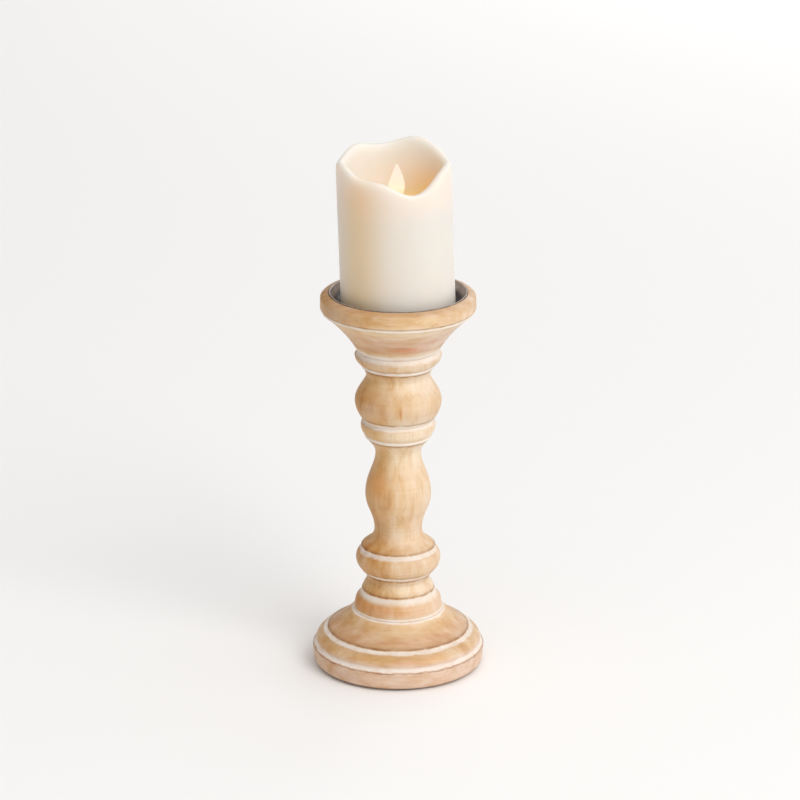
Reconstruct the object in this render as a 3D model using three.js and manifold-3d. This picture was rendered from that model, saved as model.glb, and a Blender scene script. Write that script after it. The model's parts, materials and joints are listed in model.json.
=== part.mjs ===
// A turned wooden candlestick with an iron pan, carrying a battery pillar candle with a swaying flame.
//
// Millimetres, +Z up. The origin is on the axis, at the underside of the felt, where the candlestick
// stands. -Y is the front. Three turned pieces of mango wood (base, stem and cup) are joined by tenons
// glued into bores, each joint drawn tight by a wood screw. The candle lifts out of the pan, its flame
// sways on a wire, its switch slides and its battery cover turns on two lugs.

import * as THREE from "three";
import { mergeVertices } from "three/addons/utils/BufferGeometryUtils.js";
import Module from "manifold-3d";

const wasm = await Module();
wasm.setup();

// ---------------------------------------------------------------- driving dimensions

const GAP = 0.3; // between pieces that touch, so that no two solids share material

// Facets round a full turn
const TURNED_SIDES = 32;
const ROUND_SIDES = 24;
const SMALL_SIDES = 14;
const CURVE_STEPS = 4; // steps along each curve of a turned outline

// Felt under the base
const FELT_RADIUS = 50;
const FELT_THICKNESS = 2;
const FELT_PROUD = 1; // how far the felt stands out of its recess

// Base, from the plinth up to the foot of the stem
const PLINTH_RADIUS = 58;
const PLINTH_HEIGHT = 12.3;
const PLINTH_DRAFT = 0.7; // the plinth is this much slimmer at its foot
const PLINTH_ROUND = 4.5;
const LOWER_STEP = { inset: 2.5, height: 3.8 }; // whitewashed cove over the plinth
const TORUS = { inset: 5, height: 6.5 };
const UPPER_STEP = { inset: 3.2, height: 2.3 }; // whitewashed fillet under the dome
const DOME_HEIGHT = 13.2;

// Stem: radii and heights of its features, from the base up
const FOOT_BEAD = { radius: 29, height: 8, top: 28 };
const FOOT_COVE = { radius: 24.4, height: 5.8 };
const SPOOL = { bulge: 23.2, neck: 20.6, height: 7.4 };
const LOW_FILLET = { radius: 24.3, height: 6.9 };
const LOW_BEAD = { radius: 28.4, top: 26.6, height: 13.2 };
const SHOULDER = { radius: 25.2, step: 3, height: 12.5 };
const VASE = { waist: 16, belly: 22.1, neck: 15.2, low: 25.6, high: 28.2 };
const RING_FILLET = { radius: 22.2, rise: 11.6, lip: 1.8 };
const RING = { radius: 25, height: 8 };
const BALL_NOTCH = { radius: 22.6, height: 1.8, lip: 1.4 };
const BALL = { radius: 28.9, foot: 23.9, neck: 21, low: 12.6, high: 17.1 };
const TOP_FILLET = { radius: 24.2, rise: 6.6, lip: 1.8 };
const TOP_RING = { radius: 29, height: 6.2 };
const CUP_NOTCH = { radius: 26, height: 3 };

// Tenons and their screws
const TENON_RADIUS = 11;
const LOWER_TENON = 19; // length into the base
const UPPER_TENON = 20; // length into the cup
const SCREW = { radius: 2.4, root: 1.8, headRadius: 5, headHeight: 3.4, pitch: 3.2 };
const BASE_SCREW_LENGTH = 45;
const PAN_SCREW = { radius: 1.9, headRadius: 4.2, headHeight: 2.2, length: 28 };
const WASHER = { radius: 9, thickness: 1.3 };
const COUNTERBORE_DEPTH = 8; // from the felt recess up to the washer's seat

// Candle, pan and cup: the pan is sized from the candle, and the cup from the pan
const CANDLE_RADIUS = 37.8;
const PAN = { clearance: 2.7, flare: 5.2, depth: 7.4, sheet: 0.8, round: 2 };
const PAN_DIMPLE = { radius: 6, depth: 2.4 };
const CUP = { height: 39.4, foot: 28.4, rimWidth: 5.6, rimHeight: 7.6, crown: 3 };
const CUP_FILLET = { inset: 1, height: 2.3 };

// Wax shell
const WAX_WALL = 5.4;
const CREST_HEIGHT = 98; // mean height of the melted edge over the pan
const CREST_INSET = 3; // the crest lies this far inside the outer wall
const BOWL_FLOOR = 69; // height of the bowl's floor over the pan
const BOWL_SKIN = 4; // wax under the bowl's floor
const BOWL_RADIUS = 20; // where the floor turns up into the wall
const WAX_LEAN = 0.0315; // the shell leans towards -X by this much for each millimetre of height
// The melted edge: each wave has a place round the candle (degrees from the front, towards +X),
// a half width in degrees and a height over the mean edge
const EDGE_WAVES = [
  { at: 21, spread: 35, height: -16 },
  { at: -37, spread: 22, height: -6 },
  { at: 101, spread: 24, height: -2.7 },
  { at: -101, spread: 20, height: -3 },
  { at: 152, spread: 29, height: 6.5 },
  { at: -136, spread: 20, height: 3 },
];

// Candle works
const PLATE = { lift: 1, thickness: 2.4 };
const CAN = { wall: 1.4, top: 62.9 };
const CELL = { radius: 7.25, length: 50.5, nub: 2.7, nubHeight: 1.1 };
const CELL_WEB = 1.1; // between the two cells
const HOLDER_WALL = 1.6;
const COVER = { edge: 1, boss: 1.5, bossInset: 1.4 };
const LUG = { reach: 1.5, halfAngle: 16, height: 1.5, root: 3 };
const LUG_TURN = -40; // degrees from the locked lugs to the notches that let them out
const COIN_SLOT = { length: 12, width: 2, depth: 1 };
const COVER_EDGE_ROOM = 1.8; // plate left between the battery opening and the can
const CONTACT_SHEET = 0.4;
const CONTACT_TAB = { length: 8, width: 6 };
const SPRING = { wire: 0.35, turns: 3, topRadius: 5.4, footRadius: 2.2 };
const INSERT = { radius: 11.7, brim: 16, brimHeight: 1.4, plate: 2, wall: 1.4 };
const SLOT_ROOM = { length: 4.2, width: 2.2 }; // round the flame's neck, so that it can sway
const LEG = { width: 3, thickness: 1.6, reach: 4.4 };
// Heights over the pan; the blade's middle lies to the left of its neck by its drift
const FLAME = { width: 10.6, neck: 4.6, thickness: 0.9, drift: 1.1, tip: 93.8, widest: 79.8, tail: 56.6 };
const FLAME_PIVOT = 60; // height of the wire
const WIRE_RADIUS = 0.4;
const MAGNET = { radius: 3, length: 5 };
const BOBBIN = { radius: 5.1, core: 2.4, bore: 1.2, flange: 0.9, bottom: 42.2, top: 49.6 };
const BOARD = { thickness: 1.6, top: 60.4, setback: 11 };
const LED = { radius: 2.5, flange: 2.9, flangeHeight: 1, length: 8.6, base: 57.4, aim: 78 };
const LED_PLACE = { x: -7.2, y: -6.2 };
const LED_SLEEVE = { wall: 1.2, length: 2.4, room: 4 }; // the hat is cut from its room up
const SWITCH = { y: -18.6, length: 14, width: 8, height: 6, wall: 1.2, travel: 2.5 };
const KNOB = { length: 2.8, width: 2.4, plate: 6 };
const HOUSING_SCREW = { radius: 1.2, headRadius: 2.3, headHeight: 1.2, length: 9, sunk: 1.5 };
const SCREW_POST = { radius: 3.2, height: 13 };
const SCREW_ANGLES = [-20, 200, 270]; // degrees from +X

// ---------------------------------------------------------------- levels and sizes that follow

const woodFoot = FELT_PROUD;
const plinthTop = woodFoot + PLINTH_HEIGHT;
const torusFoot = plinthTop + LOWER_STEP.height;
const torusTop = torusFoot + TORUS.height;
const domeFoot = torusTop + UPPER_STEP.height;
const baseTop = domeFoot + DOME_HEIGHT;
const stemFoot = baseTop + GAP;
const footBeadTop = stemFoot + FOOT_BEAD.height;
const spoolFoot = footBeadTop + FOOT_COVE.height;
const spoolTop = spoolFoot + SPOOL.height;
const lowBeadFoot = spoolTop + LOW_FILLET.height;
const lowBeadTop = lowBeadFoot + LOW_BEAD.height;
const shoulderFoot = lowBeadTop + SHOULDER.step;
const waistLevel = shoulderFoot + SHOULDER.height;
const bellyLevel = waistLevel + VASE.low;
const vaseNeckLevel = bellyLevel + VASE.high;
const ringFilletFoot = vaseNeckLevel + RING_FILLET.rise;
const ringFoot = ringFilletFoot + RING_FILLET.lip;
const ringTop = ringFoot + RING.height;
const notchLevel = ringTop + BALL_NOTCH.height;
const ballFoot = notchLevel + BALL_NOTCH.lip;
const ballMiddle = ballFoot + BALL.low;
const ballTop = ballMiddle + BALL.high;
const topFilletFoot = ballTop + TOP_FILLET.rise;
const topRingFoot = topFilletFoot + TOP_FILLET.lip;
const topRingTop = topRingFoot + TOP_RING.height;
const stemTop = topRingTop + CUP_NOTCH.height;
const cupFoot = stemTop + GAP;
const cupTop = cupFoot + CUP.height;

const panFloorRadius = CANDLE_RADIUS + PAN.clearance;
const panRadius = panFloorRadius + PAN.flare;
const recessRadius = panRadius + GAP;
const rimRadius = recessRadius + CUP.rimWidth;
const panTop = cupTop + GAP;
const panFloor = panTop - PAN.depth;
const recessFloor = panFloor - PAN.sheet - GAP;
const candleFoot = panFloor + GAP;

const feltRecess = FELT_THICKNESS + GAP;
const washerSeat = feltRecess + COUNTERBORE_DEPTH;
const baseBore = baseTop - LOWER_TENON - GAP;
const upperTenonTop = stemTop + UPPER_TENON;

const waxBore = CANDLE_RADIUS - WAX_WALL;
const cellSpacing = 2 * CELL.radius + CELL_WEB;
const canRadius = waxBore - GAP;
const canBore = canRadius - CAN.wall;
const plateTop = PLATE.lift + PLATE.thickness;
const canFoot = plateTop + GAP;
const headSeat = PLATE.lift + HOUSING_SCREW.sunk;
const coverRadius = cellSpacing / 2 + CELL.radius + COVER.edge;
const coverHole = coverRadius + GAP;
const bayCentre = canBore - coverHole - COVER_EDGE_ROOM;
const lugFoot = plateTop + GAP;
const contactFoot = lugFoot + COVER.boss + GAP;
const cellFoot = contactFoot + CONTACT_SHEET + GAP;
const cellTop = cellFoot + CELL.length;
const holderRadius = CELL.radius + GAP + HOLDER_WALL;
const holderTop = CAN.top - CAN.wall - GAP;
const postTop = canFoot + SCREW_POST.height;
const boardFoot = postTop + GAP;
const boardHalf = Math.sqrt((canBore - GAP) ** 2 - (BOARD.setback + BOARD.thickness / 2) ** 2);

// ---------------------------------------------------------------- materials

const material = (color, roughness, metalness = 0) =>
  new THREE.MeshStandardMaterial({ color, roughness, metalness });

const WOOD = material(0xe0b98a, 0.55);
const FELT = material(0x3a332d, 1);
const IRON = material(0x3d3a3c, 0.45, 0.6);
const STEEL = material(0xb8b8b4, 0.35, 1);
const WAX = material(0xf3ebdd, 0.5);
const IVORY = material(0xe9e2d0, 0.5);
const BLACK = material(0x1e1e1f, 0.5);
const FLAME_FILM = material(0xffe9c0, 0.4);
const COPPER = material(0xb06a3a, 0.4, 1);
const BRASS = material(0xc8a85a, 0.35, 1);
const BOARD_GREEN = material(0x2f6b3f, 0.5);
const LED_LENS = material(0xffe2a8, 0.15);
const CELL_JACKET = material(0x8a8f96, 0.4, 0.5);

// ---------------------------------------------------------------- shape helpers

// A closed geometry as a solid that can be joined and cut.
function solid(geometry) {
  const bare = geometry.clone();
  bare.deleteAttribute("normal");
  bare.deleteAttribute("uv");
  const merged = mergeVertices(bare, 1e-4);
  return new wasm.Manifold(
    new wasm.Mesh({
      numProp: 3,
      vertProperties: new Float32Array(merged.attributes.position.array),
      triVerts: new Uint32Array(merged.index.array),
    }),
  );
}

function geometryOf(made) {
  const { vertProperties, triVerts, numProp } = made.getMesh();
  const geometry = new THREE.BufferGeometry();
  const positions = new Float32Array((vertProperties.length / numProp) * 3);
  for (let i = 0; i < positions.length / 3; i += 1)
    positions.set(vertProperties.subarray(i * numProp, i * numProp + 3), i * 3);
  geometry.setAttribute("position", new THREE.BufferAttribute(positions, 3));
  geometry.setIndex(new THREE.BufferAttribute(new Uint32Array(triVerts), 1));
  geometry.computeVertexNormals();
  return geometry;
}

// Turns an outline of (radius, height) round +Z. The outline runs up the outside, and starts and ends
// on the axis or is closed here.
function turnedGeometry(points, sides = TURNED_SIDES) {
  const outline = points.filter((p, i) => i === 0 || p.distanceTo(points[i - 1]) > 1e-3);
  if (outline[0].x > 0) outline.push(outline[0].clone());
  const lathe = new THREE.LatheGeometry(outline, sides);
  lathe.rotateX(Math.PI / 2);
  return lathe;
}

const turned = (points, sides) => solid(turnedGeometry(points, sides));

const at = (radius, height) => new THREE.Vector2(radius, height);

// A cylinder from one height to another, standing at (x, y).
function rod(radius, foot, top, sides = ROUND_SIDES, x = 0, y = 0) {
  const geometry = new THREE.CylinderGeometry(radius, radius, top - foot, sides);
  geometry.rotateX(Math.PI / 2);
  geometry.translate(x, y, (foot + top) / 2);
  return solid(geometry);
}

const tube = (outer, inner, foot, top, sides = ROUND_SIDES) =>
  turned([at(inner, foot), at(outer, foot), at(outer, top), at(inner, top)], sides);

// A box by its size and the middle of its foot.
function block(width, depth, height, x, y, foot) {
  const geometry = new THREE.BoxGeometry(width, depth, height);
  geometry.translate(x, y, foot + height / 2);
  return solid(geometry);
}

const joined = (...pieces) => pieces.reduce((sum, piece) => sum.add(piece));

const cutBy = (piece, ...tools) => tools.reduce((rest, tool) => rest.subtract(tool), piece);

// Pan-head wood screw pointing up: its head's underside is at seat.
function woodScrew(seat, length, { radius, root, headRadius, headHeight, pitch }) {
  const outline = [
    at(0, seat - headHeight),
    at(headRadius * 0.6, seat - headHeight),
    at(headRadius, seat - headHeight * 0.5),
    at(headRadius, seat),
    at(radius, seat),
    at(radius, seat + length * 0.3),
  ];
  const tip = seat + length;
  for (let z = seat + length * 0.3; z < tip - 2 * pitch; z += pitch)
    outline.push(at(root, z + pitch * 0.3), at(radius, z + pitch * 0.65), at(root, z + pitch));
  outline.push(at(0, tip));
  return turned(outline, SMALL_SIDES);
}

// ---------------------------------------------------------------- candlestick

function felt() {
  return rod(FELT_RADIUS, 0, FELT_THICKNESS, TURNED_SIDES);
}

// The turned outside of the base, from the felt recess to the top of the dome.
function baseOutline() {
  const footRadius = PLINTH_RADIUS - PLINTH_DRAFT;
  const torusRadius = PLINTH_RADIUS - LOWER_STEP.inset;
  const torusTopRadius = torusRadius - TORUS.inset;
  const domeRadius = torusTopRadius - UPPER_STEP.inset;
  const domeTopRadius = FOOT_BEAD.radius + 1.4;
  const path = new THREE.Path();
  path.moveTo(footRadius - PLINTH_ROUND, woodFoot);
  path.quadraticCurveTo(footRadius, woodFoot, footRadius, woodFoot + PLINTH_ROUND);
  path.lineTo(PLINTH_RADIUS, plinthTop);
  path.lineTo(torusRadius + 0.8, plinthTop + 0.7);
  path.quadraticCurveTo(torusRadius, plinthTop + 0.9, torusRadius, torusFoot);
  path.bezierCurveTo(
    torusRadius - 0.2, torusFoot + TORUS.height * 0.37,
    torusTopRadius + TORUS.inset * 0.5, torusTop - TORUS.height * 0.34,
    torusTopRadius, torusTop,
  );
  path.lineTo(domeRadius + 0.7, torusTop + 0.6);
  path.lineTo(domeRadius, domeFoot);
  path.quadraticCurveTo(
    domeTopRadius + (domeRadius - domeTopRadius) * 0.45, domeFoot + DOME_HEIGHT * 0.36,
    domeTopRadius, baseTop,
  );
  return path.getPoints(CURVE_STEPS);
}

function base() {
  const blank = turned([at(0, woodFoot), ...baseOutline(), at(0, baseTop)]);
  return cutBy(
    blank,
    rod(FELT_RADIUS + GAP, woodFoot - 1, feltRecess, TURNED_SIDES),
    rod(WASHER.radius + 2, feltRecess - 1, washerSeat),
    rod(SCREW.radius + GAP, washerSeat - 1, baseBore + 1),
    rod(TENON_RADIUS + GAP, baseBore, baseTop + 1, TURNED_SIDES),
  );
}

function baseWasher() {
  const top = washerSeat - GAP;
  return tube(WASHER.radius, SCREW.radius + GAP, top - WASHER.thickness, top);
}

function baseScrew() {
  return woodScrew(washerSeat - 2 * GAP - WASHER.thickness, BASE_SCREW_LENGTH, SCREW);
}

// The stem's turned outside: foot bead, spool, low bead, shoulder, vase, ring, ball and top ring.
function stemOutline() {
  const path = new THREE.Path();
  path.moveTo(FOOT_BEAD.radius + 0.6, stemFoot);
  path.lineTo(FOOT_BEAD.radius + 0.3, stemFoot + 0.9);
  path.quadraticCurveTo(FOOT_BEAD.radius + 0.2, footBeadTop - 2, FOOT_BEAD.top, footBeadTop);
  path.quadraticCurveTo(FOOT_COVE.radius + 0.4, footBeadTop + 1.2, FOOT_COVE.radius, spoolFoot);
  path.quadraticCurveTo(SPOOL.bulge, spoolFoot + SPOOL.height * 0.45, SPOOL.neck, spoolTop);
  path.quadraticCurveTo(SPOOL.neck + 0.3, spoolTop + 1, LOW_FILLET.radius - 0.6, lowBeadFoot - 0.8);
  path.lineTo(LOW_FILLET.radius + 0.3, lowBeadFoot);
  path.bezierCurveTo(
    LOW_BEAD.radius + 1, lowBeadFoot + LOW_BEAD.height * 0.34,
    LOW_BEAD.radius + 0.9, lowBeadTop - LOW_BEAD.height * 0.24,
    LOW_BEAD.top, lowBeadTop,
  );
  path.lineTo(SHOULDER.radius - 0.4, lowBeadTop + 0.5);
  path.lineTo(SHOULDER.radius, shoulderFoot);
  path.bezierCurveTo(
    SHOULDER.radius - 0.6, shoulderFoot + SHOULDER.height * 0.24,
    VASE.waist, shoulderFoot + SHOULDER.height * 0.34,
    VASE.waist, waistLevel,
  );
  path.bezierCurveTo(
    VASE.waist, waistLevel + VASE.low * 0.42,
    VASE.belly, bellyLevel - VASE.low * 0.42,
    VASE.belly, bellyLevel,
  );
  path.bezierCurveTo(
    VASE.belly, bellyLevel + VASE.high * 0.42,
    VASE.neck, vaseNeckLevel - VASE.high * 0.3,
    VASE.neck, vaseNeckLevel,
  );
  path.bezierCurveTo(
    VASE.neck, vaseNeckLevel + RING_FILLET.rise * 0.5,
    RING_FILLET.radius - 1.4, ringFilletFoot - RING_FILLET.rise * 0.2,
    RING_FILLET.radius - 0.5, ringFilletFoot,
  );
  path.lineTo(RING_FILLET.radius, ringFoot);
  path.quadraticCurveTo(RING.radius + 0.4, ringFoot + RING.height * 0.45, RING.radius - 0.2, ringTop);
  path.lineTo(BALL_NOTCH.radius, notchLevel);
  path.lineTo(BALL.foot, ballFoot);
  path.bezierCurveTo(
    BALL.radius - 2.3, ballFoot + BALL.low * 0.27,
    BALL.radius, ballFoot + BALL.low * 0.65,
    BALL.radius, ballMiddle,
  );
  path.bezierCurveTo(
    BALL.radius, ballMiddle + BALL.high * 0.37,
    BALL.neck + 3, ballMiddle + BALL.high * 0.6,
    BALL.neck, ballTop,
  );
  path.quadraticCurveTo(
    TOP_FILLET.radius - 2.4, ballTop + TOP_FILLET.rise * 0.4,
    TOP_FILLET.radius - 0.4, topFilletFoot,
  );
  path.lineTo(TOP_FILLET.radius + 0.5, topRingFoot);
  path.quadraticCurveTo(TOP_RING.radius - 0.6, topRingFoot + 2, TOP_RING.radius, topRingTop);
  path.quadraticCurveTo(TOP_RING.radius - 0.4, topRingTop + 1, CUP_NOTCH.radius + 0.4, stemTop);
  return path.getPoints(CURVE_STEPS);
}

function stem() {
  const tenonFoot = baseBore + GAP;
  const blank = turned([
    at(0, tenonFoot),
    at(TENON_RADIUS - 1, tenonFoot),
    at(TENON_RADIUS, tenonFoot + 1),
    at(TENON_RADIUS, stemFoot),
    ...stemOutline(),
    at(TENON_RADIUS, stemTop),
    at(TENON_RADIUS, upperTenonTop - 1),
    at(TENON_RADIUS - 1, upperTenonTop),
    at(0, upperTenonTop),
  ]);
  const lowerPilot = washerSeat + BASE_SCREW_LENGTH;
  const upperPilot = panFloor - PAN_SCREW.length - 1;
  return cutBy(
    blank,
    rod(SCREW.radius + GAP, tenonFoot - 1, lowerPilot, SMALL_SIDES),
    rod(PAN_SCREW.radius + GAP, upperPilot, upperTenonTop + 1, SMALL_SIDES),
  );
}

// The cup's turned outside: a flaring throat under a crowned rim.
function cupOutline() {
  const rimFoot = cupTop - CUP.crown - CUP.rimHeight;
  const filletFoot = rimFoot - CUP_FILLET.height;
  const filletRadius = rimRadius - CUP_FILLET.inset;
  const throat = filletRadius - 0.9;
  const flareFoot = cupFoot + 2;
  const rise = filletFoot - flareFoot;
  const path = new THREE.Path();
  path.moveTo(CUP_NOTCH.radius + 0.4, cupFoot);
  path.lineTo(CUP.foot, flareFoot);
  path.bezierCurveTo(
    CUP.foot + (throat - CUP.foot) * 0.22, flareFoot + rise * 0.33,
    CUP.foot + (throat - CUP.foot) * 0.53, flareFoot + rise * 0.67,
    throat, filletFoot,
  );
  path.lineTo(filletRadius - 0.3, filletFoot + 0.2);
  path.lineTo(filletRadius, rimFoot - 0.3);
  path.lineTo(rimRadius, rimFoot + 0.5);
  path.lineTo(rimRadius - 0.2, cupTop - CUP.crown);
  path.quadraticCurveTo(rimRadius - 1, cupTop - 1.9, recessRadius, cupTop);
  return path.getPoints(CURVE_STEPS);
}

function cup() {
  const blank = turned([at(0, cupFoot), ...cupOutline(), at(0, cupTop)]);
  const dimpleFoot = panFloor - PAN_DIMPLE.depth - PAN.sheet - GAP;
  const innerEdge = PAN.flare * 0.45;
  const recess = turned([
    at(0, recessFloor),
    at(recessRadius - innerEdge, recessFloor),
    at(recessRadius, recessFloor + 2),
    at(recessRadius, cupTop + 1),
    at(0, cupTop + 1),
  ]);
  return cutBy(
    blank,
    recess,
    rod(PAN_DIMPLE.radius + PAN.sheet + GAP, dimpleFoot, recessFloor + 1),
    rod(PAN_SCREW.radius + GAP, upperTenonTop - 1, dimpleFoot + 1, SMALL_SIDES),
    rod(TENON_RADIUS + GAP, cupFoot - 1, upperTenonTop + GAP, TURNED_SIDES),
  );
}

// A spun sheet dish: dimpled floor, rounded corner and a flaring wall with a rolled lip.
function dripPan() {
  const t = PAN.sheet;
  const hole = PAN_SCREW.radius + GAP;
  const dimple = panFloor - PAN_DIMPLE.depth;
  const inside = new THREE.Path();
  inside.moveTo(panRadius, panTop);
  inside.lineTo(panRadius - t - 0.3, panTop + 0.1);
  inside.lineTo(panRadius - t - 0.6, panTop - 0.8);
  inside.quadraticCurveTo(
    panFloorRadius + 1.2, panFloor + PAN.round * 0.4,
    panFloorRadius - PAN.round, panFloor,
  );
  inside.lineTo(PAN_DIMPLE.radius, panFloor);
  inside.lineTo(hole, dimple);
  const outside = new THREE.Path();
  outside.moveTo(hole, dimple - t);
  outside.lineTo(PAN_DIMPLE.radius + t * 0.4, panFloor - t);
  outside.lineTo(panFloorRadius - PAN.round, panFloor - t);
  outside.quadraticCurveTo(panFloorRadius + 1.6, panFloor - t * 0.6, panRadius - 0.6, panTop - 1.2);
  outside.lineTo(panRadius, panTop);
  return turned([...outside.getPoints(CURVE_STEPS), ...inside.getPoints(CURVE_STEPS)]);
}

function panScrew() {
  const top = panFloor - 0.2;
  const neck = top - PAN_SCREW.headHeight + 0.9;
  const tip = panFloor - PAN_SCREW.length;
  const dimpleRoom = 0.5;
  return turned(
    [
      at(0, tip),
      at(PAN_SCREW.radius, tip + 4),
      at(PAN_SCREW.radius, neck),
      at(PAN_SCREW.headRadius - dimpleRoom, top),
      at(0, top),
    ],
    SMALL_SIDES,
  );
}

// ---------------------------------------------------------------- candle

const smoothBump = (angle, { at: middle, spread, height }) => {
  const away = ((angle - middle + 540) % 360) - 180;
  return height * Math.exp(-((away / spread) ** 2));
};

// Height of the melted edge over its mean, at an angle in degrees from the front.
const edgeWave = (angle) => EDGE_WAVES.reduce((sum, wave) => sum + smoothBump(angle, wave), 0);

// The shell's outside and its melted bowl are turned, waved along the edge and leant over as one;
// the bore for the works stays upright.
function waxShell() {
  const crest = CANDLE_RADIUS - CREST_INSET;
  const outline = new THREE.Path();
  outline.moveTo(0, 0);
  outline.lineTo(CANDLE_RADIUS - 0.6, 0);
  outline.lineTo(CANDLE_RADIUS, 0.6);
  outline.lineTo(CANDLE_RADIUS, BOWL_FLOOR);
  outline.lineTo(CANDLE_RADIUS, CREST_HEIGHT - 14);
  outline.lineTo(CANDLE_RADIUS, CREST_HEIGHT - 5);
  outline.quadraticCurveTo(CANDLE_RADIUS - 0.2, CREST_HEIGHT, crest, CREST_HEIGHT);
  outline.quadraticCurveTo(crest - 2.6, CREST_HEIGHT - 0.4, crest - 3.2, CREST_HEIGHT - 6);
  outline.quadraticCurveTo(crest - 5.5, BOWL_FLOOR + 1.5, BOWL_RADIUS, BOWL_FLOOR);
  outline.lineTo(0, BOWL_FLOOR);
  const geometry = turnedGeometry(outline.getPoints(CURVE_STEPS));
  const spots = geometry.attributes.position;
  for (let i = 0; i < spots.count; i += 1) {
    const angle = THREE.MathUtils.radToDeg(Math.atan2(spots.getX(i), -spots.getY(i)));
    const share = Math.max(0, (spots.getZ(i) - BOWL_FLOOR) / (CREST_HEIGHT - BOWL_FLOOR));
    spots.setZ(i, spots.getZ(i) + edgeWave(angle) * share);
  }
  geometry.applyMatrix4(new THREE.Matrix4().makeShear(0, 0, 0, 0, -WAX_LEAN, 0));
  return cutBy(
    solid(geometry),
    rod(waxBore, -1, BOWL_FLOOR - BOWL_SKIN, TURNED_SIDES),
    rod(INSERT.radius + GAP, BOWL_FLOOR - BOWL_SKIN - 1, BOWL_FLOOR + 1),
  );
}

const screwPlaces = SCREW_ANGLES.map((degrees) => {
  const reach = canBore - SCREW_POST.radius + 0.4;
  const angle = THREE.MathUtils.degToRad(degrees);
  return { x: reach * Math.cos(angle), y: reach * Math.sin(angle) };
});

// The plastic can inside the wax, open below, with a post for each housing screw.
function housingCan() {
  const shell = cutBy(
    rod(canRadius, canFoot, CAN.top, TURNED_SIDES),
    rod(canBore, canFoot - 1, CAN.top - CAN.wall, TURNED_SIDES),
    rod(INSERT.radius + 2.3, CAN.top - CAN.wall - 1, CAN.top + 1),
  );
  const posts = screwPlaces.map(({ x, y }) =>
    rod(SCREW_POST.radius, canFoot, postTop, SMALL_SIDES, x, y),
  );
  const bores = screwPlaces.map(({ x, y }) =>
    rod(HOUSING_SCREW.radius + GAP, canFoot - 1, canFoot + HOUSING_SCREW.length, SMALL_SIDES, x, y),
  );
  return cutBy(joined(shell, ...posts), ...bores);
}

// The sector of a ring that a lug fills, in the cover's own frame.
function lug(inner, outer, foot, top, middle, halfAngle) {
  const from = THREE.MathUtils.degToRad(middle - halfAngle);
  const to = THREE.MathUtils.degToRad(middle + halfAngle);
  const shape = new THREE.Shape();
  shape.absarc(0, 0, outer, from, to, false);
  shape.absarc(0, 0, inner, to, from, true);
  const geometry = new THREE.ExtrudeGeometry(shape, {
    depth: top - foot,
    bevelEnabled: false,
    curveSegments: 4,
  });
  geometry.translate(0, bayCentre, foot);
  return solid(geometry);
}

function basePlate() {
  const disc = rod(canRadius, PLATE.lift, plateTop, TURNED_SIDES);
  const reach = coverRadius + LUG.reach + GAP;
  const notch = (middle) =>
    lug(coverRadius - 1, reach, PLATE.lift - 1, plateTop + 1, middle, LUG.halfAngle + 2);
  const heads = screwPlaces.map(({ x, y }) =>
    rod(HOUSING_SCREW.headRadius + GAP, PLATE.lift - 1, headSeat, SMALL_SIDES, x, y),
  );
  const shanks = screwPlaces.map(({ x, y }) =>
    rod(HOUSING_SCREW.radius + GAP, PLATE.lift, plateTop + 1, SMALL_SIDES, x, y),
  );
  return cutBy(
    disc,
    rod(coverHole, PLATE.lift - 1, plateTop + 1, TURNED_SIDES, 0, bayCentre),
    notch(LUG_TURN),
    notch(LUG_TURN + 180),
    block(KNOB.length + 2 * SWITCH.travel + 1.4, KNOB.width + 0.8, 9, 0, SWITCH.y, PLATE.lift - 3),
    ...heads,
    ...shanks,
  );
}

function housingScrew({ x, y }) {
  const seat = headSeat - GAP;
  return joined(
    rod(HOUSING_SCREW.headRadius, seat - HOUSING_SCREW.headHeight, seat, SMALL_SIDES, x, y),
    rod(HOUSING_SCREW.radius, seat - 0.5, seat + HOUSING_SCREW.length, SMALL_SIDES, x, y),
  );
}

// Bayonet cover with two lugs that lie over the plate, a boss under the contact and a coin slot.
function batteryCover() {
  const lugTop = lugFoot + LUG.height;
  const reach = coverRadius + LUG.reach;
  const inner = coverRadius - LUG.root;
  const bossTop = lugFoot + COVER.boss;
  const coinSlot = block(
    COIN_SLOT.length, COIN_SLOT.width, 2 * COIN_SLOT.depth,
    0, bayCentre, PLATE.lift - COIN_SLOT.depth,
  );
  return cutBy(
    joined(
      rod(coverRadius, PLATE.lift, plateTop, TURNED_SIDES, 0, bayCentre),
      rod(coverRadius - COVER.bossInset, plateTop - 0.5, bossTop, TURNED_SIDES, 0, bayCentre),
      lug(inner, reach, lugFoot, lugTop, 0, LUG.halfAngle),
      lug(inner, reach, lugFoot, lugTop, 180, LUG.halfAngle),
    ),
    coinSlot,
  );
}

// Round plate that bridges the two cells at any turn of the cover.
function coverContact() {
  const radius = coverRadius - COVER.bossInset - 1;
  return rod(radius, contactFoot, contactFoot + CONTACT_SHEET, ROUND_SIDES, 0, bayCentre);
}

const cellX = (side) => (side * cellSpacing) / 2;

// Sleeve for both cells, open below, with a roof that carries the upper contacts.
function batteryHolder() {
  const foot = cellFoot + 1.2;
  const outer = joined(
    rod(holderRadius, foot, holderTop, ROUND_SIDES, cellX(-1), bayCentre),
    rod(holderRadius, foot, holderTop, ROUND_SIDES, cellX(1), bayCentre),
  );
  const roof = holderTop - HOLDER_WALL;
  return cutBy(
    outer,
    rod(CELL.radius + GAP, foot - 1, roof, ROUND_SIDES, cellX(-1), bayCentre),
    rod(CELL.radius + GAP, foot - 1, roof, ROUND_SIDES, cellX(1), bayCentre),
  );
}

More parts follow.
